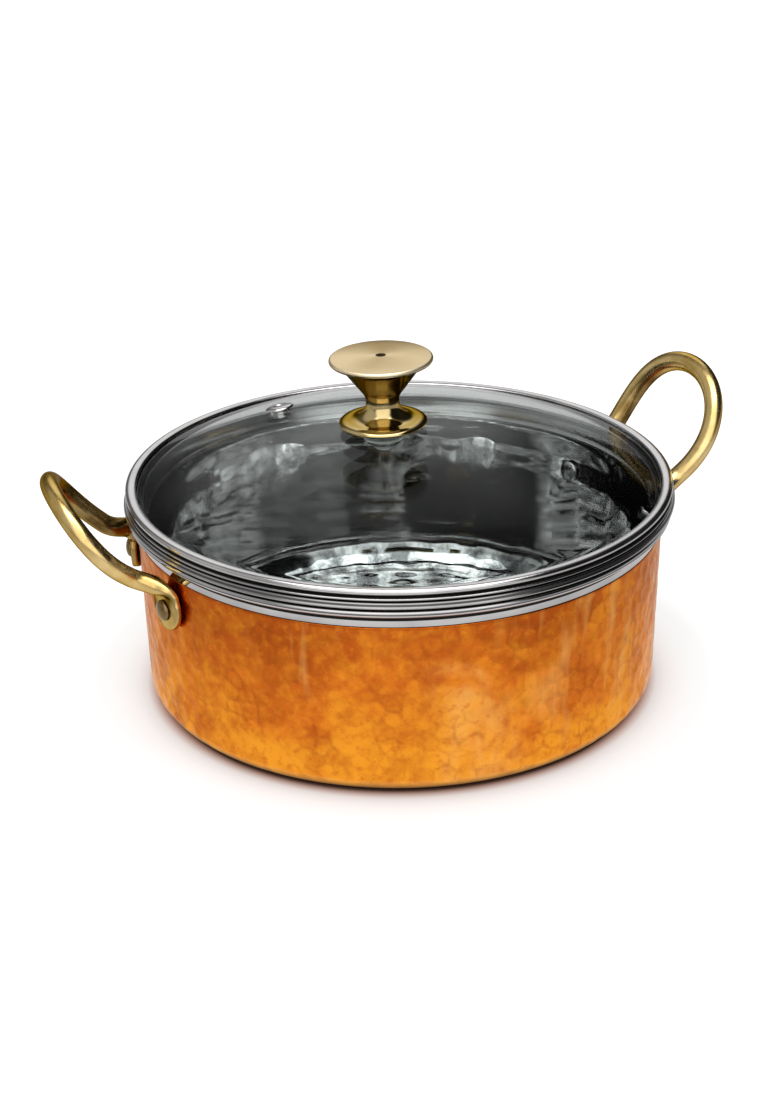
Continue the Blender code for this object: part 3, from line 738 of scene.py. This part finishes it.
class Nodes:
    """A tree of shader nodes, placed by short calls."""

    def __init__(self, tree):
        self.tree = tree

    def feed(self, socket, value):
        """Links a socket to another one, or gives it a plain value."""
        if isinstance(value, bpy.types.NodeSocket):
            self.tree.links.new(value, socket)
        else:
            socket.default_value = value

    def set(self, node, inputs):
        for name, value in inputs.items():
            self.feed(node.inputs[name.replace("_", " ")], value)

    def add(self, kind, output=0, **inputs):
        node = self.tree.nodes.new("ShaderNode" + kind)
        self.set(node, inputs)
        return node.outputs[output]

    def between(self, value, low, high, to_low=0, to_high=1):
        """The value's way from low to high, as a number between two others."""
        return self.add("MapRange", Value=value, From_Min=low, From_Max=high, To_Min=to_low, To_Max=to_high)

    def work_out(self, kind, operation, output, *values):
        node = self.tree.nodes.new("ShaderNode" + kind)
        node.operation = operation
        for socket, value in zip(node.inputs, values):
            self.feed(socket, value)
        return node.outputs[output]

    def math(self, operation, *values):
        return self.work_out("Math", operation, 0, *values)

    def vector(self, operation, *values):
        """A number worked out from vectors."""
        return self.work_out("VectorMath", operation, "Value", *values)

    def product(self, *values):
        result = values[0]
        for value in values[1:]:
            result = self.math("MULTIPLY", result, value)
        return result

    def rest(self, share):
        return self.math("SUBTRACT", 1, share)

    def mix(self, share, first, second):
        """A number between two others."""
        node = self.tree.nodes.new("ShaderNodeMix")
        for index, value in ((0, share), (2, first), (3, second)):
            self.feed(node.inputs[index], value)
        return node.outputs[0]

    def seen(self):
        """1 for what the camera sees, straight or through glass, and 1 for what metal shows."""
        path = self.tree.nodes.new("ShaderNodeLightPath").outputs
        after_metal = self.math("GREATER_THAN", path["Glossy Depth"], 0.5)
        straight = self.math("MAXIMUM", path["Is Camera Ray"], path["Is Transmission Ray"])
        return self.product(straight, self.rest(after_metal)), after_metal


class Finish(Nodes):
    """A material built round one Principled shader."""

    def __init__(self, name, colour, metallic, roughness, **extra):
        self.material = bpy.data.materials.new(name)
        self.material.use_nodes = True
        super().__init__(self.material.node_tree)
        self.shader = self.tree.nodes["Principled BSDF"]
        self.use(Base_Color=(*colour, 1), Metallic=metallic, Roughness=roughness, **extra)
        self.place = self.add("TexCoord", "Object")

    def use(self, **inputs):
        self.set(self.shader, inputs)

    def on(self, *pieces):
        for piece in pieces:
            piece.data.materials.clear()
            piece.data.materials.append(self.material)

    def stretched(self, x=1, y=1, z=1):
        """The object's own coordinates, with some axes drawn out."""
        return self.add("Mapping", Vector=self.place, Scale=(x, y, z))

    def noise(self, scale, detail=3, roughness=0.5, distortion=0, place=None):
        return self.add("TexNoise", Vector=place or self.place, Scale=scale, Detail=detail,
                        Roughness=roughness, Distortion=distortion)

    def blend(self, share, first, second):
        """A colour between two others."""
        node = self.tree.nodes.new("ShaderNodeMix")
        node.data_type = "RGBA"
        self.feed(node.inputs[0], share)
        for socket, colour in ((node.inputs[6], first), (node.inputs[7], second)):
            self.feed(socket, colour if isinstance(colour, bpy.types.NodeSocket) else (*colour, 1))
        return node.outputs[2]

    def tone_and_light(self, colour, other, value, start, full, share):
        """The colour with another over it, by up to a share, where the value passes from start to full."""
        return self.blend(self.between(value, start, full, 0, share), colour, other)

    def height(self):
        return self.add("SeparateXYZ", "Z", Vector=self.place)

    def radius(self):
        """Distance from the pan's axis."""
        return self.vector("LENGTH", self.stretched(1, 1, 0))

    def along(self, way):
        """How far a place lies from the pan's axis in one direction."""
        return self.vector("DOT_PRODUCT", self.place, way)

    def band(self, value, low, high, soft=0.00008):
        """1 where the value lies between two others, and 0 elsewhere."""
        return self.product(self.between(value, low - soft, low + soft),
                            self.between(value, high - soft, high + soft, 1, 0))

    def kept(self, name):
        """A value that the mesh keeps for each of its points."""
        node = self.tree.nodes.new("ShaderNodeAttribute")
        node.attribute_name = name
        return node.outputs["Fac"]

    def bump(self, height, distance, strength):
        return self.add("Bump", Height=height, Distance=distance, Strength=strength)


# Materials. A noise is given by its scale, detail, roughness and distortion. A layer is given by the
# value where it starts, the value where it is full, and its share there.
USUAL_NOISE = (0.3, 0.7)        # between these lie most of a noise's values

COPPER_RED = (0.48, 0.090, 0.010)
COPPER_ORANGE = (0.74, 0.190, 0.017)
COPPER_YELLOW = (0.88, 0.320, 0.022)
# painted shade on the ridges between blows
COPPER_SHADE = (0.28, 0.045, 0.008)
# pale copper for painted reflections: a patch, streaks and the foot
COPPER_SHEEN = (0.95, 0.480, 0.130)
COPPER_EDGE = (0.95, 0.80, 0.62, 1)     # how copper mirrors at a glance
COPPER_ROUGHNESS = (0.18, 0.34)
CLOUD = (24, 3, 0.6, 0.5)
CLOUD_RANGE = (0.35, 0.65)
CLOUD_HEIGHT = 0.018
# Painted light and shade: yellower and lighter low on the wall, redder and darker towards the top
ORANGE_RISE = (0.012, 0.036, 1)
RED_RISE = (0.040, 0.066, 0.85)
BLOW_YELLOW = (0.45, 0.95, 0.28)
BLOW_RED = (0.40, 0.05, 0.28)
MOTTLE = (150, 5, 0.6, 0.3)
MOTTLE_RED = (0.50, 0.75, 0.60)
MOTTLE_YELLOW = (0.46, 0.28, 0.45)
BLOTS = (55, 4, 0.6, 0.3)
BLOTS_RED = (0.54, 0.70, 0.75)
PALE_SHEEN_BAND = (0.012, 0.034, 0.008)     # the patch of painted pale reflection on the side nearer to the camera
PALE_SHEEN_NEARER = (0.02, 0.05)
PALE_SHEEN_RISE = (0.040, 0.026)
PALE_SHEEN_NOISE = (90, 4, 0.6, 0)
PALE_SHEEN_STRETCH = (1, 1, 0.4)
PALE_SHEEN_RANGE = (0.40, 0.62, 0.05, 0.55)
FINE = (340, 4, 0.6)
FINE_RED = (0.52, 0.68, 0.40)
FINE_YELLOW = (0.46, 0.32, 0.30)
# painted shade on the ridges between blows, as dark reflections at the dents' edges
RIDGES_SHADE = (0.25, 0.95, 0, 0.36)
RIDGES_LEFT = (60, 3, 0.5)
RIDGES_LEFT_RANGE = (0.44, 0.58)
# painted pale reflection in upright streaks
SHEEN_STREAKS = (110, 3, 0.5, 0)
SHEEN_STREAKS_STRETCH = (1, 1, 0.18)
SHEEN_STREAKS_PALE = (0.52, 0.68, 0, 0.5)
SHEEN_STREAKS_LEFT = (14, 1)
SHEEN_STREAKS_LEFT_RANGE = (0.50, 0.62)
# painted highlight along the copper's foot
FOOT_SHEEN = (0.0055, 0.0020, 0.7)
COPPER_GRAIN = (420, 4, 0.65)
COPPER_BUMP = (0.00005, 0.5)            # depth and strength


def copper_finish():
    """Copper with tarnish in soft patches, painted shade that makes it redder and darker towards the top,
    painted pale reflections, painted shade on the ridges between blows, and a tone of its own for each
    blow.
    """
    finish = Finish("hammered_copper", COPPER_ORANGE, 1, 0.25)
    height = finish.height()
    cloud = finish.between(finish.noise(*CLOUD), *CLOUD_RANGE, -CLOUD_HEIGHT, CLOUD_HEIGHT)
    raised = finish.math("ADD", height, cloud)
    blow = finish.kept("tone")
    mottle = finish.noise(*MOTTLE)
    fine = finish.noise(*FINE)
    # painted light and shade by height
    colour = finish.tone_and_light(COPPER_YELLOW, COPPER_ORANGE, raised, *ORANGE_RISE)
    colour = finish.tone_and_light(colour, COPPER_RED, raised, *RED_RISE)
    colour = finish.tone_and_light(colour, COPPER_YELLOW, blow, *BLOW_YELLOW)
    colour = finish.tone_and_light(colour, COPPER_RED, blow, *BLOW_RED)
    colour = finish.tone_and_light(colour, COPPER_RED, mottle, *MOTTLE_RED)
    colour = finish.tone_and_light(colour, COPPER_YELLOW, mottle, *MOTTLE_YELLOW)
    colour = finish.tone_and_light(colour, COPPER_RED, finish.noise(*BLOTS), *BLOTS_RED)
    # painted pale reflection in a patch on the side nearer to the camera
    patchy = finish.noise(*PALE_SHEEN_NOISE, finish.stretched(*PALE_SHEEN_STRETCH))
    pale_sheen = finish.product(finish.band(finish.along(ASIDE), *PALE_SHEEN_BAND),
                            finish.between(finish.along(NEARER), *PALE_SHEEN_NEARER),
                            finish.between(raised, *PALE_SHEEN_RISE),
                            finish.between(patchy, *PALE_SHEEN_RANGE))
    colour = finish.blend(pale_sheen, colour, COPPER_SHEEN)
    colour = finish.tone_and_light(colour, COPPER_RED, fine, *FINE_RED)
    colour = finish.tone_and_light(colour, COPPER_YELLOW, fine, *FINE_YELLOW)
    # painted shade on the ridges between blows
    ridges = finish.product(finish.between(finish.kept("ridge"), *RIDGES_SHADE),
                            finish.between(finish.noise(*RIDGES_LEFT), *RIDGES_LEFT_RANGE))
    colour = finish.blend(ridges, colour, COPPER_SHADE)
    # painted pale reflection in upright streaks
    sheen_streaks = finish.noise(*SHEEN_STREAKS, finish.stretched(*SHEEN_STREAKS_STRETCH))
    sheen_streaks = finish.product(finish.between(sheen_streaks, *SHEEN_STREAKS_PALE),
                             finish.between(finish.noise(*SHEEN_STREAKS_LEFT), *SHEEN_STREAKS_LEFT_RANGE))
    colour = finish.blend(sheen_streaks, colour, COPPER_SHEEN)
    # painted highlight along the foot
    colour = finish.tone_and_light(colour, COPPER_SHEEN, height, *FOOT_SHEEN)
    finish.use(Base_Color=colour, Roughness=finish.between(mottle, *USUAL_NOISE, *COPPER_ROUGHNESS),
               Normal=finish.bump(finish.noise(*COPPER_GRAIN), *COPPER_BUMP), Specular_Tint=COPPER_EDGE)
    return finish


STEEL_PLAIN = (0.66, 0.67, 0.68)
STEEL_DARK = (0.46, 0.45, 0.45)
STEEL_LIGHT = (0.60, 0.585, 0.58)
# painted shade for grooves, joints and under overhangs
BAND_SHADE = (0.015, 0.014, 0.013)
BAND_SHADE_ROUGHNESS = 0.6
DULL = (60, 3, 0.5)
DULL_SHARES = (0.7, 1.4)        # of the roughness
LINES = (4, 0.6, 0)
LINES_STRETCH = (0.06, 0.06, 1)
LINES_BUMP = (0.00002, 0.4)
LINER_STEEL = (0.05, None)      # roughness, and scale of the lines, if there are any
BRIGHT_STEEL = (0.16, 2600)
PLAIN_STEEL = (0.25, 900)
STAINS = (110, 4, 0.6, 0.4)     # on the liner's floor
STAINS_RANGE = (0.38, 0.66)
STAIN_DARK = (0.09, 0.092, 0.095)
STAIN_LIGHT = (0.56, 0.57, 0.57)
STAIN_EDGE = (floor_height + 0.006, floor_height + 0.0105)

# Painted shade in grooves, joints and under overhangs, from one height or radius to another, and its share
SEAM = 0.0001
ridge_low = RIM_HEIGHT + LID_RIDGE_HEIGHT - LID_RIDGE
ridge_high = RIM_HEIGHT + LID_RIDGE_HEIGHT + LID_RIDGE
under_bead = RIM_HEIGHT + bead_bottom
# painted shade under the rim's roll, in a line round it, and on its top in the shade of the lid's skirt
LINER_SHADE = (
    (band_top - SEAM, RIM_HEIGHT - 2 * RIM_ROLL + SEAM, 1.0),
    (RIM_HEIGHT - 0.00185, RIM_HEIGHT - 0.00140, 0.8),
    (RIM_HEIGHT - 0.00065, RIM_HEIGHT + SEAM, 1.0),
)
# painted shade in the grooves beside the ridge, in a line on the skirt, and faintly over all below the bead
RING_SHADE = (
    (RIM_HEIGHT + LID_SKIRT_TOP, ridge_low + SEAM, 1.0),
    (ridge_high - SEAM, under_bead + 0.0004, 1.0),
    (RIM_HEIGHT + 0.00160, RIM_HEIGHT + 0.00225, 0.8),
    (RIM_HEIGHT + 0.0002, under_bead, 0.28),
)
# painted shade in two rings on the seat under the glass
SEAT_SHADE = ((0.0903, 0.0911, 1.0), (0.0887, 0.0896, 0.9))


def steel_finish(name, roughness, line_scale, heights=(), radii=(), stain_edge=None):
    """Steel with lines round the axis, stains below an edge, and painted shade at some heights and radii.
    """
    finish = Finish(name, STEEL_PLAIN, 1, roughness)
    dull = finish.noise(*DULL)
    colour = finish.blend(finish.between(dull, *USUAL_NOISE), STEEL_DARK, STEEL_LIGHT)
    shine = finish.between(dull, *USUAL_NOISE, *(roughness * share for share in DULL_SHARES))
    if stain_edge:
        stains = finish.between(finish.noise(*STAINS), *STAINS_RANGE)
        stains = finish.blend(stains, STAIN_DARK, STAIN_LIGHT)
        colour = finish.blend(finish.between(finish.height(), *stain_edge, 1, 0), colour, stains)
    places = [(finish.band(finish.height(), low, high), share) for low, high, share in heights]
    places += [(finish.band(finish.radius(), low, high), share) for low, high, share in radii]
    for place, share in places:
        # painted shade in bands
        painted_shade = finish.product(place, share)
        colour = finish.blend(painted_shade, colour, BAND_SHADE)
        shine = finish.math("MAXIMUM", shine, finish.product(painted_shade, BAND_SHADE_ROUGHNESS))
    finish.use(Base_Color=colour, Roughness=shine)
    if line_scale:
        lines = finish.noise(line_scale, *LINES, finish.stretched(*LINES_STRETCH))
        finish.use(Normal=finish.bump(lines, *LINES_BUMP))
    return finish


GOLD_EDGE = (0.30, 0.20, 0.08, 1)       # how brass mirrors at a glance
KNOB_PLAIN = (0.72, 0.56, 0.28)
KNOB_SIDE_DARK = (0.46, 0.34, 0.14)
KNOB_SIDE_LIGHT = (0.66, 0.52, 0.26)
# the top's paler brass: partly its own brushed tone, partly painted light
KNOB_TOP_DARK = (0.80, 0.66, 0.43)
KNOB_TOP_LIGHT = (0.94, 0.80, 0.55)
# painted shade: the dimple in the top painted black and not metal
KNOB_PIT_SHADE = (0.03, 0.02, 0.01)
KNOB_PIT_EDGE = (0.0022, 0.0024)        # from the middle of the top
KNOB_TOP_EDGE = (0.1172, 0.1178)        # heights between which the side becomes the top
KNOB_CLOUD = (60, 4, 0.6)
KNOB_SIDE_ROUGHNESS = 0.12
KNOB_TOP_ROUGHNESS = 0.36
KNOB_TOP_BRUSHING = 0.6


def knob_finish():
    """Golden brass turned bright, with a flat top that is brushed in rings and paler, partly of itself and
    partly by painted light, and a pit in it painted dark as shade.
    """
    finish = Finish("knob_brass", KNOB_PLAIN, 1, KNOB_SIDE_ROUGHNESS)
    tangent = finish.tree.nodes.new("ShaderNodeTangent")
    tangent.direction_type = "RADIAL"
    tangent.axis = "Z"
    top = finish.between(finish.height(), *KNOB_TOP_EDGE)
    tone = finish.between(finish.noise(*KNOB_CLOUD), *USUAL_NOISE)
    colour = finish.blend(top, finish.blend(tone, KNOB_SIDE_DARK, KNOB_SIDE_LIGHT),
                          finish.blend(tone, KNOB_TOP_DARK, KNOB_TOP_LIGHT))
    middle = glass_frame(KNOB_DISTANCE, KNOB_ANGLE) @ Vector((0, 0, KNOB_HEIGHT))
    # painted shade in the dimple
    pit = finish.between(finish.vector("DISTANCE", finish.place, middle), *KNOB_PIT_EDGE, 1, 0)
    shine = finish.between(top, 0, 1, KNOB_SIDE_ROUGHNESS, KNOB_TOP_ROUGHNESS)
    finish.use(Base_Color=finish.blend(pit, colour, KNOB_PIT_SHADE), Metallic=finish.rest(pit),
               Roughness=finish.math("MAXIMUM", shine, pit), Tangent=tangent.outputs[0],
               Anisotropic=finish.product(top, KNOB_TOP_BRUSHING), Specular_Tint=GOLD_EDGE)
    return finish


# Colour, darker colour, roughness and scale of the scratches
HANDLE_BRASS = ((0.90, 0.68, 0.32), (0.56, 0.37, 0.11), 0.24, 500)
RIVET_BRASS = ((0.30, 0.20, 0.08), (0.14, 0.09, 0.04), 0.26, 700)
BRASS_CLOUD = (70, 4, 0.6)
SCRATCHES = (4, 0.65, 0.2)
SCRATCHES_STRETCH = (1, 1, 0.25)
SCRATCHES_SHARES = (0.75, 1.35)         # of the roughness
SCRATCHES_BUMP = (0.0000015, 0.5)
# painted dark reflection on the inner side of the loop's arms
INNER_SHADE = (0.08, 0.040, 0.010)
INNER_SHADE_MIDDLE = 0.006           # half the width over which one of the loop's arms gives way to the other
INNER_SHADE_FACING = (-0.15, -0.85)
INNER_SHADE_NOISE = (55, 4, 0.6)
INNER_SHADE_RANGE = (0.35, 0.60, 0.55, 1)
# painted dark reflections in spots
SPOT_SHADE = (0.10, 0.065, 0.015)
SPOTS = (48, 3, 0.5, 0.3)
SPOTS_SHADE = (0.60, 0.68, 0.85)


def brass_finish(name, colour, dark, roughness, scale, inner_shade=False, steel_inside=None):
    """Brass with a little tarnish, painted dark reflection on a loop's inner side and in spots, and steel
    inside a radius.
    """
    finish = Finish(name, colour, 1, roughness)
    scratches = finish.noise(scale, *SCRATCHES, finish.stretched(*SCRATCHES_STRETCH))
    shine = finish.between(scratches, *USUAL_NOISE, *(roughness * share for share in SCRATCHES_SHARES))
    base = finish.blend(finish.between(finish.noise(*BRASS_CLOUD), *USUAL_NOISE), dark, colour)
    if inner_shade:
        # painted dark reflection on the arms' inner sides
        facing = finish.add("SeparateXYZ", "Y", Vector=finish.add("TexCoord", "Normal"))
        side = finish.between(finish.along((0, 1, 0)), -INNER_SHADE_MIDDLE, INNER_SHADE_MIDDLE, -1, 1)
        inwards = finish.between(finish.product(side, facing), *INNER_SHADE_FACING)
        uneven = finish.between(finish.noise(*INNER_SHADE_NOISE), *INNER_SHADE_RANGE)
        base = finish.blend(finish.product(inwards, uneven), base, INNER_SHADE)
        # painted dark reflections in spots
        base = finish.tone_and_light(base, SPOT_SHADE, finish.noise(*SPOTS), *SPOTS_SHADE)
        finish.use(Specular_Tint=GOLD_EDGE)
    if steel_inside:
        outside = finish.between(finish.radius(), steel_inside, steel_inside + GAP)
        base = finish.blend(outside, STEEL_DARK, base)
    finish.use(Base_Color=base, Roughness=shine, Normal=finish.bump(scratches, *SCRATCHES_BUMP))
    return finish


GLASS_COLOUR = (0.90, 0.945, 0.93)
GLASS_IOR = 1.12                # low, so that the pane mirrors as little as in the photo
GLASS_SPECULAR = 0.20
SMEARS = (18, 3, 0.5, 0.6)
SMEAR_RANGE = (0.45, 0.75, 0.0, 0.02)
SILICONE_COLOUR = (0.80, 0.80, 0.78)
SILICONE_NOISE = (200, 3)
SILICONE_ROUGHNESS = (0.38, 0.55)
SILICONE_BUMP = (0.00003, 0.4)


def glass_finish():
    finish = Finish("lid_glass", GLASS_COLOUR, 0, 0.0, IOR=GLASS_IOR, Transmission_Weight=1,
                    Specular_IOR_Level=GLASS_SPECULAR)
    finish.use(Roughness=finish.between(finish.noise(*SMEARS), *SMEAR_RANGE))
    return finish


def silicone_finish():
    finish = Finish("clear_silicone", SILICONE_COLOUR, 0, 0.45)
    cloud = finish.noise(*SILICONE_NOISE)
    finish.use(Roughness=finish.between(cloud, *USUAL_NOISE, *SILICONE_ROUGHNESS),
               Normal=finish.bump(cloud, *SILICONE_BUMP))
    return finish


# Stage

def make_camera():
    camera = bpy.data.objects.new("camera", bpy.data.cameras.new("camera"))
    bpy.context.scene.collection.objects.link(camera)
    turn = Matrix.Rotation(CAMERA_AZIMUTH, 4, "Z")
    turn @= Matrix.Rotation(math.radians(90) - CAMERA_ELEVATION, 4, "X")
    turn @= Matrix.Rotation(CAMERA_ROLL, 4, "Z")
    offset = Vector((CAMERA_RIGHT, CAMERA_UP, CAMERA_DISTANCE))
    camera.matrix_world = Matrix.Translation((0, 0, AIM_HEIGHT)) @ turn @ Matrix.Translation(offset)
    camera.data.lens = LENS
    camera.data.sensor_width = SENSOR
    bpy.context.scene.camera = camera


def make_floor():
    """White floor. Near the pan it keeps the shadow, with painted shadow in its colour and its glow, and
    further off it is plain white to the camera.
    """
    shape = bmesh.new()
    bmesh.ops.create_grid(shape, x_segments=1, y_segments=1, size=FLOOR_REACH)
    mesh = bpy.data.meshes.new("floor")
    shape.to_mesh(mesh)
    shape.free()
    floor = bpy.data.objects.new("floor", mesh)
    floor.location.z = -GAP / 2
    bpy.context.scene.collection.objects.link(floor)
    grey = (FLOOR_SHADE,) * 3
    finish = Finish("white_floor", grey, 0, FLOOR_ROUGHNESS)
    distance = finish.vector("LENGTH", finish.place)
    aside = finish.math("ABSOLUTE", finish.along(ASIDE))
    seen, after_metal = finish.seen()

    eased = finish.math("ADD", distance, finish.between(aside, *EASE_EDGE, 0, SHADOW_EASE_ASIDE))
    shaded = finish.between(eased, *SHADOW_EDGE, 1, 0)
    lit = finish.rest(finish.math("POWER", shaded, SHADOW_POWER))
    lift = finish.math("ADD", finish.between(distance, *FAR_LIFT_EDGE, 0, FAR_LIFT),
                       finish.between(distance, *NEAR_LIFT_EDGE, 0, NEAR_LIFT))
    for_camera = finish.math("ADD", finish.product(lit, FLOOR_GLOW), lift)

    behind = finish.between(finish.along(BEHIND), *BEHIND_EDGE)
    for_metal = finish.between(distance, *SHEEN_EDGE, FLOOR_SHEEN, FLOOR_SHEEN_FAR)
    for_metal = finish.product(for_metal, finish.between(aside, *ASIDE_EDGE, 1, FLOOR_SHEEN_ASIDE))
    for_metal = finish.math("ADD", finish.product(for_metal, finish.rest(behind)),
                            finish.product(behind, FLOOR_SHEEN_BEHIND))
    for_metal = finish.product(for_metal, finish.between(distance, *FOOT_EDGE, FLOOR_SHEEN_FOOT, 1))
    glow = finish.math("ADD", finish.product(seen, for_camera), finish.product(after_metal, for_metal))

    # painted shadow: dark brown in the floor's colour at the foot of the pan
    colour = finish.blend(finish.between(distance, *CONTACT_SHADOW_EDGE), CONTACT_SHADOW_BROWN, grey)
    colour = finish.blend(after_metal, colour, BLACK)
    # painted reddish light from the copper, tinting the glow in the shadow
    tint = finish.blend(finish.between(distance, *COPPER_BOUNCE_EDGE), COPPER_BOUNCE_TINT, WARM_TINT)
    tint = finish.blend(finish.between(distance, *WARM_TINT_EDGE), tint, WHITE)
    tint = finish.blend(after_metal, tint, WHITE)
    finish.use(Base_Color=colour, Emission_Color=tint, Emission_Strength=glow)
    finish.on(floor)


def make_lamp():
    """A rectangular lamp that faces the pan from above."""
    lamp = bpy.data.lights.new("top_box", "AREA")
    lamp.shape = "RECTANGLE"
    lamp.size, lamp.size_y = LAMP_SIZE
    lamp.energy = LAMP_POWER
    box = bpy.data.objects.new("top_box", lamp)
    back = direction(*LAMP_PLACE)
    box.location = back * LAMP_DISTANCE + Vector((0, 0, AIM_HEIGHT))
    box.rotation_mode = "QUATERNION"
    box.rotation_quaternion = back.to_track_quat("Z", "Y")
    box.visible_camera = False
    bpy.context.scene.collection.objects.link(box)


def make_world():
    """Soft patches of light and dark for the metal to show. The camera sees white, also through the lid."""
    world = bpy.data.worlds.new("studio")
    bpy.context.scene.world = world
    world.use_nodes = True
    nodes = Nodes(world.node_tree)
    place = nodes.add("TexCoord", "Generated")
    level = WORLD_LEVEL
    for middle, (inner, outer), value in SURROUNDINGS:
        facing = nodes.vector("DOT_PRODUCT", place, direction(*middle))
        share = nodes.between(facing, math.cos(math.radians(outer)), math.cos(math.radians(inner)))
        share.node.interpolation_type = "SMOOTHERSTEP"
        level = nodes.mix(share, level, value)
    seen, _ = nodes.seen()
    nodes.feed(world.node_tree.nodes["Background"].inputs["Color"], nodes.mix(seen, level, 1))


def main():
    make_camera()
    make_world()
    make_floor()
    make_lamp()

    copper_finish().on(make_copper())
    steel_finish("liner_steel", *LINER_STEEL, LINER_SHADE, stain_edge=STAIN_EDGE).on(make_liner())
    handles = []
    rivets = []
    for side, angle, loop, front in (("left", math.pi - HANDLE_SETBACK, LEFT_LOOP, 1),
                                     ("right", HANDLE_SETBACK, RIGHT_LOOP, -1)):
        handles.append(make_handle("handle_" + side, loop, angle))
        for place, way in (("front", front), ("back", -front)):
            rivets.append(make_rivet(f"rivet_{side}_{place}", angle + way * EAR_ANGLE))
    brass_finish("handle_brass", *HANDLE_BRASS, inner_shade=True).on(*handles)
    brass_finish("rivet_brass", *RIVET_BRASS, steel_inside=liner_inside).on(*rivets)
    steel_finish("ring_steel", *BRIGHT_STEEL, RING_SHADE, SEAT_SHADE).on(make_ring())
    glass_finish().on(make_glass())
    steel_finish("vent_steel", *BRIGHT_STEEL).on(make_vent())
    knob_finish().on(make_knob())
    nodes = frame["nodes"]
    silicone_finish().on(nodes["knob_gasket"], nodes["under_gasket"])
    steel_finish("screw_steel", *PLAIN_STEEL).on(nodes["knob_washer"], nodes["knob_screw"])
    bpy.context.scene.view_settings.view_transform = "Standard"


main()
